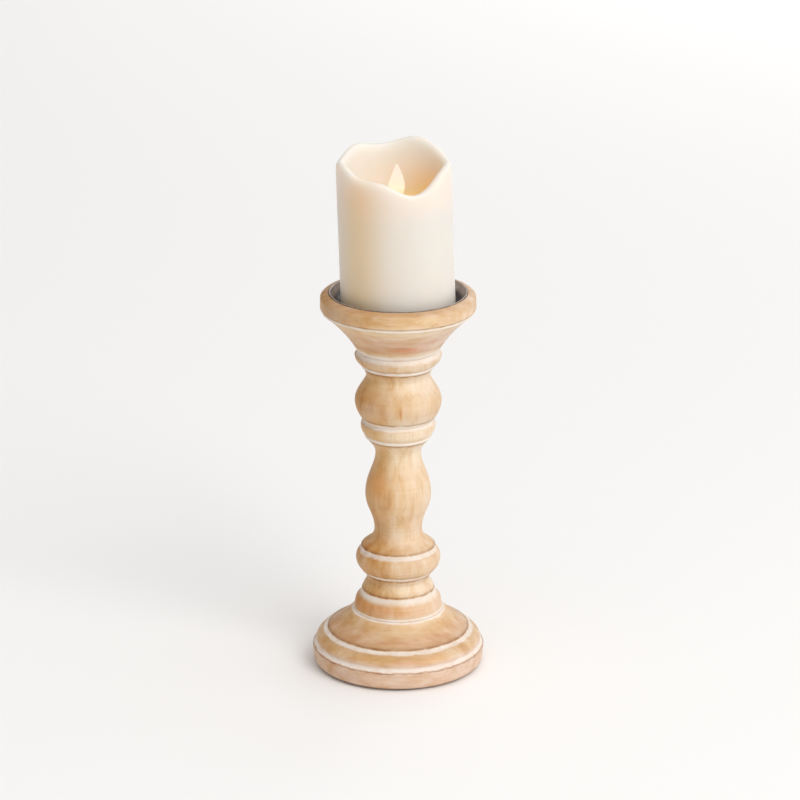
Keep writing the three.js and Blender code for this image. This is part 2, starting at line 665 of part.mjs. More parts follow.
// An AA cell with its nub up or down.
function cell(side, nubUp) {
  const body = CELL.length - CELL.nubHeight;
  const outline = [
    at(0, 0),
    at(CELL.radius - 0.5, 0),
    at(CELL.radius, 0.5),
    at(CELL.radius, body - 0.6),
    at(CELL.radius - 0.6, body),
    at(CELL.nub, body),
    at(CELL.nub, CELL.length),
    at(0, CELL.length),
  ];
  const geometry = turnedGeometry(outline, ROUND_SIDES);
  if (!nubUp) geometry.rotateX(Math.PI).translate(0, 0, CELL.length);
  geometry.translate(cellX(side), bayCentre, cellFoot);
  return solid(geometry);
}

// Conical coil spring that presses on the flat end of one cell.
function contactSpring() {
  const { wire, turns, topRadius, footRadius } = SPRING;
  const foot = cellTop + GAP + wire;
  const top = holderTop - HOLDER_WALL - GAP - wire;
  const points = [];
  const steps = turns * 10;
  for (let i = 0; i <= steps; i += 1) {
    const share = i / steps;
    const angle = share * turns * 2 * Math.PI;
    const radius = footRadius + (topRadius - footRadius) * share;
    points.push(
      new THREE.Vector3(
        cellX(-1) + radius * Math.cos(angle),
        bayCentre + radius * Math.sin(angle),
        foot + (top - foot) * share,
      ),
    );
  }
  const section = new THREE.Shape().absarc(0, 0, wire, 0, 2 * Math.PI, false);
  const geometry = new THREE.ExtrudeGeometry(section, {
    steps,
    curveSegments: 3,
    bevelEnabled: false,
    extrudePath: new THREE.CatmullRomCurve3(points),
  });
  return solid(geometry);
}

// Flat contact over the other cell's nub.
function contactTab() {
  return block(CONTACT_TAB.length, CONTACT_TAB.width, CONTACT_SHEET, cellX(1), bayCentre, cellTop + GAP);
}

// Hat-shaped insert in the bowl's floor: a slot for the flame, a hole for the lamp, two wire legs.
function flameInsert() {
  const top = BOWL_FLOOR - GAP;
  const brimFoot = CAN.top + GAP;
  const hat = turned([
    at(0, top - INSERT.plate),
    at(INSERT.radius - INSERT.wall, top - INSERT.plate),
    at(INSERT.radius - INSERT.wall, brimFoot),
    at(INSERT.brim, brimFoot),
    at(INSERT.brim, brimFoot + INSERT.brimHeight),
    at(INSERT.radius, brimFoot + INSERT.brimHeight),
    at(INSERT.radius, top - 0.4),
    at(INSERT.radius - 0.4, top),
    at(0, top),
  ], ROUND_SIDES);
  const legFoot = FLAME_PIVOT - 1.6;
  const leg = (side) =>
    block(LEG.width, LEG.thickness, top - 1 - legFoot, 0, side * LEG.reach, legFoot);
  const slot = block(
    FLAME.neck + SLOT_ROOM.length, FLAME.thickness + SLOT_ROOM.width, 3 * INSERT.plate,
    0, 0, top - 2 * INSERT.plate,
  );
  return cutBy(joined(hat, leg(-1), leg(1)), slot, acrossPivot(WIRE_RADIUS + GAP, 40, 8), lampCut());
}

// A rod along Y at the flame's pivot.
function acrossPivot(radius, length, sides) {
  return solid(new THREE.CylinderGeometry(radius, radius, length, sides)).translate([0, 0, FLAME_PIVOT]);
}

function pivotWire() {
  return acrossPivot(WIRE_RADIUS, 2 * (LEG.reach + LEG.thickness), 10);
}

// Flame blade: a flat tear drop on a neck, hung on the wire by a round hole.
function flame() {
  const { tail, widest, tip, drift } = FLAME;
  const neck = FLAME.neck / 2;
  const right = FLAME.width / 2 - drift;
  const left = -FLAME.width / 2 - drift;
  const swell = BOWL_FLOOR + 2;
  const shape = new THREE.Shape();
  shape.moveTo(-neck, tail);
  shape.lineTo(neck, tail);
  shape.lineTo(neck, swell);
  shape.bezierCurveTo(right * 0.8, swell + 2.5, right, widest - 4, right, widest);
  shape.bezierCurveTo(right, widest + 6, 1.4, tip - 5, 0.3 - drift, tip - 0.4);
  shape.quadraticCurveTo(0.1 - drift, tip, -0.3 - drift, tip - 0.5);
  shape.bezierCurveTo(-2.2, tip - 4.5, left, widest + 5, left, widest);
  shape.bezierCurveTo(left, widest - 4, left * 0.7, swell + 2.5, -neck, swell);
  shape.closePath();
  const hole = new THREE.Path().absarc(0, FLAME_PIVOT, WIRE_RADIUS + 0.4, 0, 2 * Math.PI, true);
  shape.holes.push(hole);
  const geometry = new THREE.ExtrudeGeometry(shape, {
    depth: FLAME.thickness,
    bevelEnabled: false,
    curveSegments: 6,
  });
  geometry.rotateX(Math.PI / 2);
  geometry.translate(0, FLAME.thickness / 2, 0);
  return solid(geometry);
}

function flameMagnet() {
  const top = FLAME.tail - GAP;
  return rod(MAGNET.radius, top - MAGNET.length, top, SMALL_SIDES);
}

// Spool with a tongue that reaches forward to the circuit board.
function coilBobbin() {
  const { radius, core, bore, flange, bottom, top } = BOBBIN;
  const spool = turned([
    at(bore, bottom),
    at(radius, bottom),
    at(radius, bottom + flange),
    at(core, bottom + flange),
    at(core, top - flange),
    at(radius, top - flange),
    at(radius, top),
    at(bore, top),
  ], ROUND_SIDES);
  const reach = BOARD.setback - BOARD.thickness / 2 - GAP;
  const tongue = block(6, reach - core, flange, 0, -(reach + core) / 2, bottom);
  return joined(spool, tongue);
}

function driveCoil() {
  const { radius, core, flange, bottom, top } = BOBBIN;
  return tube(radius - 0.6, core + GAP, bottom + flange + GAP, top - flange - GAP);
}

function circuitBoard() {
  return block(2 * boardHalf, BOARD.thickness, BOARD.top - boardFoot, 0, -BOARD.setback, boardFoot);
}

// Turns a piece made on +Z so that it stands at the lamp's place and points at the flame.
function aimed(piece) {
  const from = new THREE.Vector3(LED_PLACE.x, LED_PLACE.y, LED.base);
  const towards = new THREE.Vector3(0, 0, LED.aim).sub(from).normalize();
  const turn = new THREE.Quaternion().setFromUnitVectors(new THREE.Vector3(0, 0, 1), towards);
  const matrix = new THREE.Matrix4().compose(from, turn, new THREE.Vector3(1, 1, 1));
  return piece.transform(matrix.elements);
}

function lampCut() {
  return aimed(rod(LED.radius + 2 * GAP, LED_SLEEVE.room, LED.length + 12, SMALL_SIDES));
}

// Five-millimetre lamp: flanged foot, straight body and a round nose.
function led() {
  const nose = LED.length - LED.radius;
  const { flange, flangeHeight, radius } = LED;
  const outline = [at(0, 0), at(flange, 0), at(flange, flangeHeight), at(radius, flangeHeight)];
  const dome = new THREE.Path().absarc(0, nose, radius, 0, Math.PI / 2, false);
  return aimed(turned([...outline, ...dome.getPoints(CURVE_STEPS)], SMALL_SIDES));
}

function ledHolder() {
  const inner = LED.radius + GAP;
  const foot = LED.flangeHeight + GAP;
  return aimed(tube(inner + LED_SLEEVE.wall, inner, foot, foot + LED_SLEEVE.length, SMALL_SIDES));
}

function switchBody() {
  const foot = canFoot;
  const { length, width, height, wall, y } = SWITCH;
  return cutBy(
    block(length, width, height, 0, y, foot),
    block(length - 2 * wall, width - 2 * wall, height - wall + 1, 0, y, foot - 1),
  );
}

// Knob below the plate, on a wider plate that slides inside the switch body. It rests at its lit end.
function switchSlider() {
  const foot = canFoot + GAP;
  const knobFoot = PLATE.lift + GAP;
  return joined(
    block(KNOB.plate, KNOB.plate * 0.8, 2, -SWITCH.travel, SWITCH.y, foot),
    block(KNOB.length, KNOB.width, foot + 0.5 - knobFoot, -SWITCH.travel, SWITCH.y, knobFoot),
  );
}

// ---------------------------------------------------------------- assembly

const candlestick = new THREE.Group();
const candle = new THREE.Group();
candle.position.z = candleFoot;

function place(group, name, made, finish) {
  const mesh = new THREE.Mesh(geometryOf(made), finish);
  mesh.name = name;
  group.add(mesh);
}

place(candlestick, "felt_pad", felt(), FELT);
place(candlestick, "turned_base", base(), WOOD);
place(candlestick, "base_washer", baseWasher(), STEEL);
place(candlestick, "base_screw", baseScrew(), STEEL);
place(candlestick, "turned_stem", stem(), WOOD);
place(candlestick, "turned_cup", cup(), WOOD);
place(candlestick, "candle_pan", dripPan(), IRON);
place(candlestick, "pan_screw", panScrew(), IRON);

place(candle, "wax_shell", waxShell(), WAX);
place(candle, "housing_can", housingCan(), IVORY);
place(candle, "base_plate", basePlate(), IVORY);
screwPlaces.forEach((spot, i) => place(candle, `housing_screw_${i + 1}`, housingScrew(spot), STEEL));
place(candle, "battery_cover", batteryCover(), IVORY);
place(candle, "cover_contact", coverContact(), BRASS);
place(candle, "battery_holder", batteryHolder(), BLACK);
place(candle, "battery_1", cell(1, true), CELL_JACKET);
place(candle, "battery_2", cell(-1, false), CELL_JACKET);
place(candle, "contact_spring", contactSpring(), STEEL);
place(candle, "contact_tab", contactTab(), BRASS);
place(candle, "flame_insert", flameInsert(), IVORY);
place(candle, "flame_pivot_wire", pivotWire(), STEEL);
place(candle, "flame", flame(), FLAME_FILM);
place(candle, "flame_magnet", flameMagnet(), STEEL);
place(candle, "coil_bobbin", coilBobbin(), BLACK);
place(candle, "drive_coil", driveCoil(), COPPER);
place(candle, "circuit_board", circuitBoard(), BOARD_GREEN);
place(candle, "led", led(), LED_LENS);
place(candle, "led_holder", ledHolder(), BLACK);
place(candle, "switch_body", switchBody(), BLACK);
place(candle, "switch_slider", switchSlider(), BLACK);

candlestick.add(candle);

export default candlestick;
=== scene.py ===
# %% [markdown]
# # A turned candlestick with its battery candle
#
# A candlestick like this is three pieces of mango wood turned on a lathe, glued end to end and rubbed
# with white paint that stays in the grooves. A spun iron pan sits in the cup, and a wax pillar with a
# swaying lit flame stands in the pan. The lesson loads the engineer's solids, turns finer skins over
# the ones that show, and gives every piece a finish of its own.

# %% Load the solids
import json
import math

import bmesh
import bpy
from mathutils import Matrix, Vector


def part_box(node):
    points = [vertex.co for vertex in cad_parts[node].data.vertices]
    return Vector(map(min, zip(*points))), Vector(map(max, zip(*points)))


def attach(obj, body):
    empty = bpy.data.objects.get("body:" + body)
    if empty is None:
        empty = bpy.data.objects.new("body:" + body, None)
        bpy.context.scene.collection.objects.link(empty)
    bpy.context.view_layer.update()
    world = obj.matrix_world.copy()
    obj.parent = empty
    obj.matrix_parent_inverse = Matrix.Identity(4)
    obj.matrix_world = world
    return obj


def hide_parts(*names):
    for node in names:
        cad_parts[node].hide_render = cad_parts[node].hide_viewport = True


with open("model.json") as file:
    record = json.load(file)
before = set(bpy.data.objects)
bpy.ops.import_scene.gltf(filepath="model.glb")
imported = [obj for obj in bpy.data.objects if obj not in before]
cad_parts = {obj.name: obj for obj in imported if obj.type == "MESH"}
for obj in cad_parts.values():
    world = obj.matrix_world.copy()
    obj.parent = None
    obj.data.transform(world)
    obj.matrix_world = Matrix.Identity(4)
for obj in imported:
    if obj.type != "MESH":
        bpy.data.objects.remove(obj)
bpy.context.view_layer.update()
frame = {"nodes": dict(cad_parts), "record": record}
MM = 0.001


def levels(node):
    """The lowest and highest level of a solid, in millimetres."""
    low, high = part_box(node)
    return low[2] / MM, high[2] / MM


BASE_FOOT, BASE_TOP = levels("turned_base")
TENON_FOOT, TENON_TOP = levels("turned_stem")
CUP_FOOT, CUP_TOP = levels("turned_cup")
PAN_LOW, PAN_TOP = levels("candle_pan")
WAX_FOOT = levels("wax_shell")[0]
print("base", BASE_FOOT, BASE_TOP, "cup", CUP_FOOT, CUP_TOP, "wax from", WAX_FOOT)

# %% [markdown]
# ## The camera
#
# A long lens from a good two metres away keeps the candlestick's sides upright: a short lens close by
# would make them lean. It stands well above the table, so the rim and the grooves read as ellipses.
# Placing it first lets every later piece be judged from where it will be seen.

# %% Place the camera
LENS_MM = 164.7
CAMERA_SPOT = (0.0012, -2.3, 0.977)
CAMERA_DIP = math.radians(18.97)
FAR_CLIP = 50

lens = bpy.data.cameras.new("long_lens")
lens.lens = LENS_MM
lens.clip_end = FAR_CLIP
camera = bpy.data.objects.new("camera", lens)
camera.location = CAMERA_SPOT
camera.rotation_euler = (math.pi / 2 - CAMERA_DIP, 0, 0)
bpy.context.scene.collection.objects.link(camera)
bpy.context.scene.camera = camera
print("camera:", CAMERA_SPOT, "lens:", LENS_MM, "mm")

# %% [markdown]
# ## A template for the lathe
#
# A turner works from a template: a flat outline of half the piece. Such an outline can be drawn with a
# Bezier curve object, or as here with a pen that lays down lines and curves point by point. The pen
# wins because each radius and height stays a readable number, and because worn corners can then be
# rounded all in one go: no edge of a handled object is truly sharp.


# %% A pen that draws templates
class Template:
    """An outline of (radius, height) points in millimetres."""

    STEPS = 14

    def __init__(self, radius, height):
        self.points = [(radius, height)]

    def line(self, *corners):
        self.points.extend(corners)
        return self

    def curve(self, *controls):
        """A Bezier curve from the last point through two or three control points."""
        start = self.points[-1]
        cage = [start, *controls]
        for step in range(1, self.STEPS + 1):
            share = step / self.STEPS
            row = cage
            while len(row) > 1:
                row = [blend_points(a, b, share) for a, b in zip(row, row[1:])]
            self.points.append(row[0])
        return self


def blend_points(a, b, share):
    return tuple(p + (q - p) * share for p, q in zip(a, b))


TRUE_CORNER = math.radians(20)
MOST_OF_SIDE = 0.45
ROUNDING = (0, 0.3, 0.7, 1)


def softened(points, wear, closed):
    """Rounds every corner that turns by more than a little, as handling does."""
    made = []
    count = len(points)
    for i, here in enumerate(points):
        before, after = points[i - 1], points[(i + 1) % count]
        end = not closed and i in (0, count - 1)
        if end or corner_angle(before, here, after) < TRUE_CORNER:
            made.append(here)
            continue
        near = min(wear / math.dist(before, here), MOST_OF_SIDE)
        far = min(wear / math.dist(here, after), MOST_OF_SIDE)
        start = blend_points(here, before, near)
        finish = blend_points(here, after, far)
        for share in ROUNDING:
            first = blend_points(start, here, share)
            made.append(blend_points(first, blend_points(here, finish, share), share))
    return made


def corner_angle(before, here, after):
    arriving = math.atan2(here[1] - before[1], here[0] - before[0])
    leaving = math.atan2(after[1] - here[1], after[0] - here[0])
    return abs((leaving - arriving + math.pi) % (2 * math.pi) - math.pi)


print("steps to a curve:", Template.STEPS, "points to a worn corner:", len(ROUNDING))


# %% [markdown]
# ## The lathe
#
# Turning is a rule: sweep one outline round one axis. Blender has a Spin tool and a Screw modifier for
# this. A small Geometry Nodes tree is used instead, because every turned piece can share it: the
# template goes in as a mesh, becomes a curve, and is swept round a tiny circle. Its inputs are the
# number of sides and the finish. Points that meet on the axis are merged, so the poles are closed.


# %% Build the lathe as a node tree
HUB = 0.01 * MM
SIDES = 160


def lathe_tree():
    tree = bpy.data.node_groups.new("Lathe", "GeometryNodeTree")
    face = tree.interface
    face.new_socket("Template", in_out="INPUT", socket_type="NodeSocketGeometry")
    face.new_socket("Sides", in_out="INPUT", socket_type="NodeSocketInt").default_value = SIDES
    face.new_socket("Finish", in_out="INPUT", socket_type="NodeSocketMaterial")
    face.new_socket("Turning", in_out="OUTPUT", socket_type="NodeSocketGeometry")
    add, link = tree.nodes.new, tree.links.new
    given, made = add("NodeGroupInput"), add("NodeGroupOutput")
    outline = add("GeometryNodeMeshToCurve")
    hub = add("GeometryNodeCurvePrimitiveCircle")
    hub.inputs["Radius"].default_value = HUB
    sweep = add("GeometryNodeCurveToMesh")
    poles = add("GeometryNodeMergeByDistance")
    poles.inputs["Distance"].default_value = HUB / 4
    real = add("GeometryNodeRealizeInstances")
    finish = add("GeometryNodeSetMaterial")
    link(given.outputs["Template"], outline.inputs["Mesh"])
    link(given.outputs["Sides"], hub.inputs["Resolution"])
    link(hub.outputs["Curve"], sweep.inputs["Curve"])
    link(outline.outputs["Curve"], sweep.inputs["Profile Curve"])
    link(sweep.outputs["Mesh"], poles.inputs["Geometry"])
    link(poles.outputs["Geometry"], real.inputs["Geometry"])
    link(real.outputs["Geometry"], finish.inputs["Geometry"])
    link(given.outputs["Finish"], finish.inputs["Material"])
    link(finish.outputs["Geometry"], made.inputs["Turning"])
    return tree


LATHE = lathe_tree()
print("lathe inputs:", [s.name for s in LATHE.interface.items_tree if s.in_out == "INPUT"])

# %% [markdown]
# ### From template to finished mesh
#
# The tree is a modifier on a helper object. Its result is taken off as a plain mesh, because the
# engineer's bodies carry meshes and not modifiers. Normals are then worked out afresh, so that every
# face looks out.


# %% Turn one piece on the lathe
def socket_id(tree, name):
    """The identifier a modifier knows an input by."""
    return next(s.identifier for s in tree.interface.items_tree if s.name == name)


def template_mesh(name, points, closed):
    """Lays the outline flat on the bench: radius along X, height along -Y, as the sweep wants it."""
    mesh = bpy.data.meshes.new(name)
    spots = [(radius * MM - HUB, -height * MM, 0) for radius, height in points]
    edges = [(i, i + 1) for i in range(len(spots) - 1)]
    if closed:
        edges.append((len(spots) - 1, 0))
    mesh.from_pydata(spots, edges, [])
    return mesh


def plain_mesh(worker, name):
    """Takes the evaluated result of an object's modifiers as a mesh of its own."""
    graph = bpy.context.evaluated_depsgraph_get()
    mesh = bpy.data.meshes.new_from_object(worker.evaluated_get(graph))
    mesh.name = name
    bpy.data.objects.remove(worker)
    return mesh


def face_outwards(mesh, crease_degrees=35):
    """Points every face out and keeps only true corners sharp."""
    work = bmesh.new()
    work.from_mesh(mesh)
    bmesh.ops.recalc_face_normals(work, faces=work.faces)
    for face in work.faces:
        face.smooth = True
    for edge in work.edges:
        if edge.is_manifold:
            edge.smooth = edge.calc_face_angle(0) < math.radians(crease_degrees)
    work.to_mesh(mesh)
    work.free()


def turn(name, points, finish, wear=0.35, closed=False, sides=SIDES):
    """Turns a template into a finished piece."""
    outline = softened(points, wear, closed) if wear else points
    worker = bpy.data.objects.new(name, template_mesh(name, outline, closed))
    bpy.context.scene.collection.objects.link(worker)
    lathe = worker.modifiers.new("lathe", "NODES")
    lathe.node_group = LATHE
    lathe[socket_id(LATHE, "Sides")] = sides
    lathe[socket_id(LATHE, "Finish")] = finish
    mesh = plain_mesh(worker, name)
    face_outwards(mesh)
    piece = bpy.data.objects.new(name, mesh)
    bpy.context.scene.collection.objects.link(piece)
    radius = max(piece.dimensions[:2]) / MM / 2
    print(name, "faces:", len(mesh.polygons), "radius:", round(radius, 2))
    return piece


def stand_in(piece, body, slot, *nodes):
    """Puts a finished piece on its body, in place of the solids it covers."""
    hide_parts(*nodes)
    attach(piece, body)


# %% [markdown]
# ## Mixing finishes
#
# Every finish is one Principled shader fed by procedural textures, as no picture of wood is used. The
# textures read Object coordinates, so a grain runs right through a piece as it does in real timber.
# The helper below keeps each recipe short: it adds a node, sets its inputs and links what is linked.


# %% A recipe book for shaders
def srgb(red, green, blue):
    """A colour as a painter reads it off a card, made linear for the shader."""
    parts = [c / 255 for c in (red, green, blue)]
    return (*[p / 12.92 if p <= 0.04045 else ((p + 0.055) / 1.055) ** 2.4 for p in parts], 1)


class Recipe:
    """A material whose nodes are added one line at a time."""

    MIX_SHARE, MIX_FIRST, MIX_SECOND, MIX_RESULT = 0, 6, 7, 2

    def __init__(self, name):
        self.material = bpy.data.materials.new(name)
        self.material.use_nodes = True
        self.tree = self.material.node_tree
        self.shader = self.tree.nodes["Principled BSDF"]
        self.place = self.node("ShaderNodeTexCoord").outputs["Object"]

    def node(self, kind, inputs=None, **settings):
        made = self.tree.nodes.new(kind)
        for key, value in settings.items():
            setattr(made, key, value)
        self.feed(made, inputs or {})
        return made

    def feed(self, node, inputs):
        for key, value in inputs.items():
            if isinstance(value, bpy.types.NodeSocket):
                self.tree.links.new(value, node.inputs[key])
            else:
                node.inputs[key].default_value = value

    def finish(self, **inputs):
        """Sets the shader's own inputs; an underscore stands for a space."""
        self.feed(self.shader, {key.replace("_", " "): value for key, value in inputs.items()})
        return self.material

    def laid(self, scale=(1, 1, 1), shift=(0, 0, 0)):
        """Object coordinates, stretched and shifted for one pattern."""
        inputs = {"Vector": self.place, "Scale": scale, "Location": shift}
        return self.node("ShaderNodeMapping", inputs).outputs["Vector"]

    def noise(self, where, scale, detail=2, roughness=0.5, distortion=0):
        """A noise with so many waves to the metre."""
        inputs = {"Vector": where, "Scale": scale, "Detail": detail}
        inputs |= {"Roughness": roughness, "Distortion": distortion}
        return self.node("ShaderNodeTexNoise", inputs).outputs["Fac"]

    def reckon(self, operation, first, second=0.0):
        return self.node("ShaderNodeMath", {0: first, 1: second}, operation=operation).outputs[0]

    def times(self, first, second):
        return self.reckon("MULTIPLY", first, second)

    def plus(self, first, second):
        return self.reckon("ADD", first, second)

    def minus(self, first, second):
        return self.reckon("SUBTRACT", first, second)

    def shaken(self, value, noise, size):
        """Pushes a value up and down by a noise, so that an edge read from it turns ragged."""
        return self.plus(value, self.times(self.minus(noise, 0.5), size))

    def step(self, value, low, high, start=0.0, end=1.0, blend="SMOOTHSTEP"):
        """Goes from start to end as the value goes from low to high, and stays there."""
        inputs = {"Value": value, "From Min": low, "From Max": high, "To Min": start, "To Max": end}
        return self.node("ShaderNodeMapRange", inputs, interpolation_type=blend).outputs["Result"]

    def mix(self, share, first, second, blend="MIX"):
        """Mixes two colours. The Mix node gives several sockets one name, so they go by number."""
        inputs = {self.MIX_SHARE: share, self.MIX_FIRST: first, self.MIX_SECOND: second}
        made = self.node("ShaderNodeMix", inputs, data_type="RGBA", blend_type=blend)
        return made.outputs[self.MIX_RESULT]

    def ramp(self, value, *stops):
        """A row of colours; a stop is (place, colour)."""
        made = self.node("ShaderNodeValToRGB", {"Fac": value})
        steps = made.color_ramp.elements
        while len(steps) < len(stops):
            steps.new(1)
        for element, (place, colour) in zip(steps, stops):
            element.position = place
            element.color = colour
        return made.outputs["Color"]

    def blot(self, centre, radii):
        """One in the middle of a soft ragged ellipsoid, in millimetres, fading to nothing outside it."""
        scale = [1 / (radius * MM) for radius in radii]
        shift = [-middle / radius for middle, radius in zip(centre, radii)]
        where = self.laid(scale, shift)
        reach = self.node("ShaderNodeVectorMath", {0: where}, operation="LENGTH").outputs["Value"]
        edge = self.shaken(reach, self.noise(self.place, 190, 3, 0.6), 0.9)
        return self.step(edge, 0.25, 1.15, 1.0, 0.0)

    def bump(self, height, depth_mm, strength=1.0):
        inputs = {"Height": height, "Distance": depth_mm * MM, "Strength": strength}
        return self.node("ShaderNodeBump", inputs).outputs["Normal"]

    def height_mm(self):
        level = self.node("ShaderNodeSeparateXYZ", {"Vector": self.place}).outputs["Z"]
        return self.times(level, 1 / MM)


print("recipe steps:", ", ".join(name for name in vars(Recipe) if name.islower() and name[0] != "_"))


# %% [markdown]
# ## Limed mango wood
#
# Mango is a pale, warm timber with soft streaks, short pores and drifts of pink and honey. The foot and
# the cup are cut with the grain lying across, the spindle with the grain upright. The tone drifts with
# height: each piece states its tones as a ladder of heights and colours. White paint is brushed on and
# wiped off again: it stays in the grooves, thins out over their edges, and leaves a haze on the rest. A
# picture texture would smear over the curves. Noise stretched along the fibres runs true through them,
# so all of it is mixed from noise.

# %% Tones of the wood
LIME = srgb(233, 223, 213)
# Dark stain for grain and pores, also used for the painted shade in the grooves.
STAIN_AND_SHADE = srgb(150, 108, 78)
# Honey tone of the painted shade down the left side of each piece.
LEFT_SHADE_TONE = srgb(230, 200, 144)
STREAK_TONE = srgb(234, 211, 172)
MOTTLE_TONE = srgb(232, 206, 158)
RING_TONE = srgb(222, 190, 152)
HONEY = (211, 173, 124)
AMBER = (216, 168, 116)
WHEAT = (221, 186, 143)
SAND = (219, 192, 158)
CREAM = (231, 208, 176)
ROSE = (219, 188, 164)
CLAY = (205, 164, 128)
UMBER = (197, 159, 118)
LADDER_TONES = (HONEY, AMBER, WHEAT, SAND, CREAM, ROSE, CLAY, UMBER)
print("tones for the ladders:", len(LADDER_TONES))

# %% [markdown]
# ### Tones and paint that follow the height
#
# The ladder of tones is a colour ramp on the height. Paint, and dirt with painted shade, are bands
# between two heights, each with a soft edge below and above. They could be painted by hand on an
# unwrapped mesh, but a groove goes right round, so its two heights say it all.


# %% Ladders and bands
def ladder_tones(recipe, level, ladder):
    """A colour for each height; the ladder's rows are (height, tone)."""
    low, high = ladder[0][0], ladder[-1][0]
    climb = recipe.step(level, low, high, blend="LINEAR")
    return recipe.ramp(climb, *[((z - low) / (high - low), srgb(*tone)) for z, tone in ladder])


def band(recipe, level, low, high, soft_low, soft_high):
    """One between two heights, with a soft edge of its own on either side, all in millimetres."""
    rising = recipe.step(level, low - soft_low, low + soft_low)
    falling = recipe.step(level, high - soft_high, high + soft_high, 1, 0)
    return recipe.times(rising, falling)


def bands(recipe, level, rows):
    """One inside any of the bands."""
    mask = 0.0
    for row in rows:
        mask = recipe.reckon("MAXIMUM", band(recipe, level, *row), mask)
    return mask


EDGE_WANDER = 1.5
RAGGED_WAVES, THIN_WAVES = 150, 110


def whitewash(recipe, wood, level, painted, dirt_and_shade):
    """Rubs dirt with painted shade, and white paint, into the bands; also tells where the paint is."""
    ragged = recipe.noise(recipe.place, RAGGED_WAVES, 3, 0.6)
    edge = recipe.shaken(level, ragged, EDGE_WANDER)
    # Dark lines in the grooves and under the arrises: partly dirt, partly painted shade.
    rubbed = recipe.times(bands(recipe, edge, dirt_and_shade), recipe.step(ragged, 0.35, 0.6, 0.25, 0.6))
    wood = recipe.mix(rubbed, wood, STAIN_AND_SHADE, "MULTIPLY")
    thin = recipe.step(recipe.noise(recipe.place, THIN_WAVES, 2), 0.3, 0.62, 0.62, 0.92)
    paint = recipe.times(bands(recipe, edge, painted), thin)
    return recipe.mix(paint, wood, LIME), paint


print("paint edges wander by", EDGE_WANDER, "mm")

# %% [markdown]
# ### Streaks, painted side light and knots
#
# A wave texture gives even stripes, like pine in a cartoon. Noise squeezed along one axis gives the
# broken streaks of a real board: squeezed a little for figure and mottle, a lot for grain and pores.

# %% Streaks along the fibres
STREAKS = {"X": (0.24, 1, 1), "Z": (1, 1, 0.24)}
FIBRES = {"X": (0.04, 1, 1), "Z": (1, 1, 0.04)}
TOOL_RINGS = (0.03, 0.03, 1)
FIGURE_WAVES, MOTTLE_WAVES, HAZE_WAVES = 60, 150, 38
GRAIN_WAVES, PORE_WAVES, RING_WAVES = 620, 1700, 700


def streaks(recipe, wood, along, seed):
    """Broad figure and a finer mottle, both drawn out along the fibres."""
    figure = recipe.noise(recipe.laid(STREAKS[along], seed), FIGURE_WAVES, 3, 0.55, 0.6)
    wood = recipe.mix(recipe.step(figure, 0.5, 0.3, 0, 0.5), wood, STREAK_TONE, "MULTIPLY")
    wood = recipe.mix(recipe.step(figure, 0.5, 0.7, 0, 0.3), wood, srgb(*CREAM))
    mottle = recipe.noise(recipe.laid(STREAKS[along], seed), MOTTLE_WAVES, 3, 0.6)
    wood = recipe.mix(recipe.step(mottle, 0.54, 0.34, 0, 0.5), wood, MOTTLE_TONE, "MULTIPLY")
    return recipe.mix(recipe.step(mottle, 0.52, 0.72, 0, 0.25), wood, LIME)


def painted_side_light(recipe, wood, strength):
    """Painted side light: a honey shade down the left of a piece and a pale painted highlight down the
    right.
    """
    flat = recipe.node("ShaderNodeVectorMath", {0: recipe.place, 1: (1, 1, 0)}, operation="MULTIPLY")
    facing = recipe.node("ShaderNodeVectorMath", {0: flat.outputs["Vector"]}, operation="NORMALIZE")
    across = recipe.node("ShaderNodeSeparateXYZ", {0: facing.outputs["Vector"]}).outputs["X"]
    wood = recipe.mix(recipe.step(across, 0, -0.7, 0, strength), wood, LEFT_SHADE_TONE, "MULTIPLY")
    return recipe.mix(recipe.step(across, -0.1, 0.75, 0, 0.3 * strength), wood, LIME)


def knots_and_side_light(recipe, wood, blots):
    """Knots, drifts of colour and some painted side light: dark blots on the left are painted shade,
    pale ones on the right painted highlights; a blot's row is (centre, radii, tone, strength).
    """
    for centre, radii, tone, strength in blots:
        share = recipe.times(recipe.blot(centre, radii), strength)
        wood = recipe.mix(share, wood, srgb(*tone))
    return wood


print("waves to the metre, figure to pores:", FIGURE_WAVES, MOTTLE_WAVES, GRAIN_WAVES, PORE_WAVES)


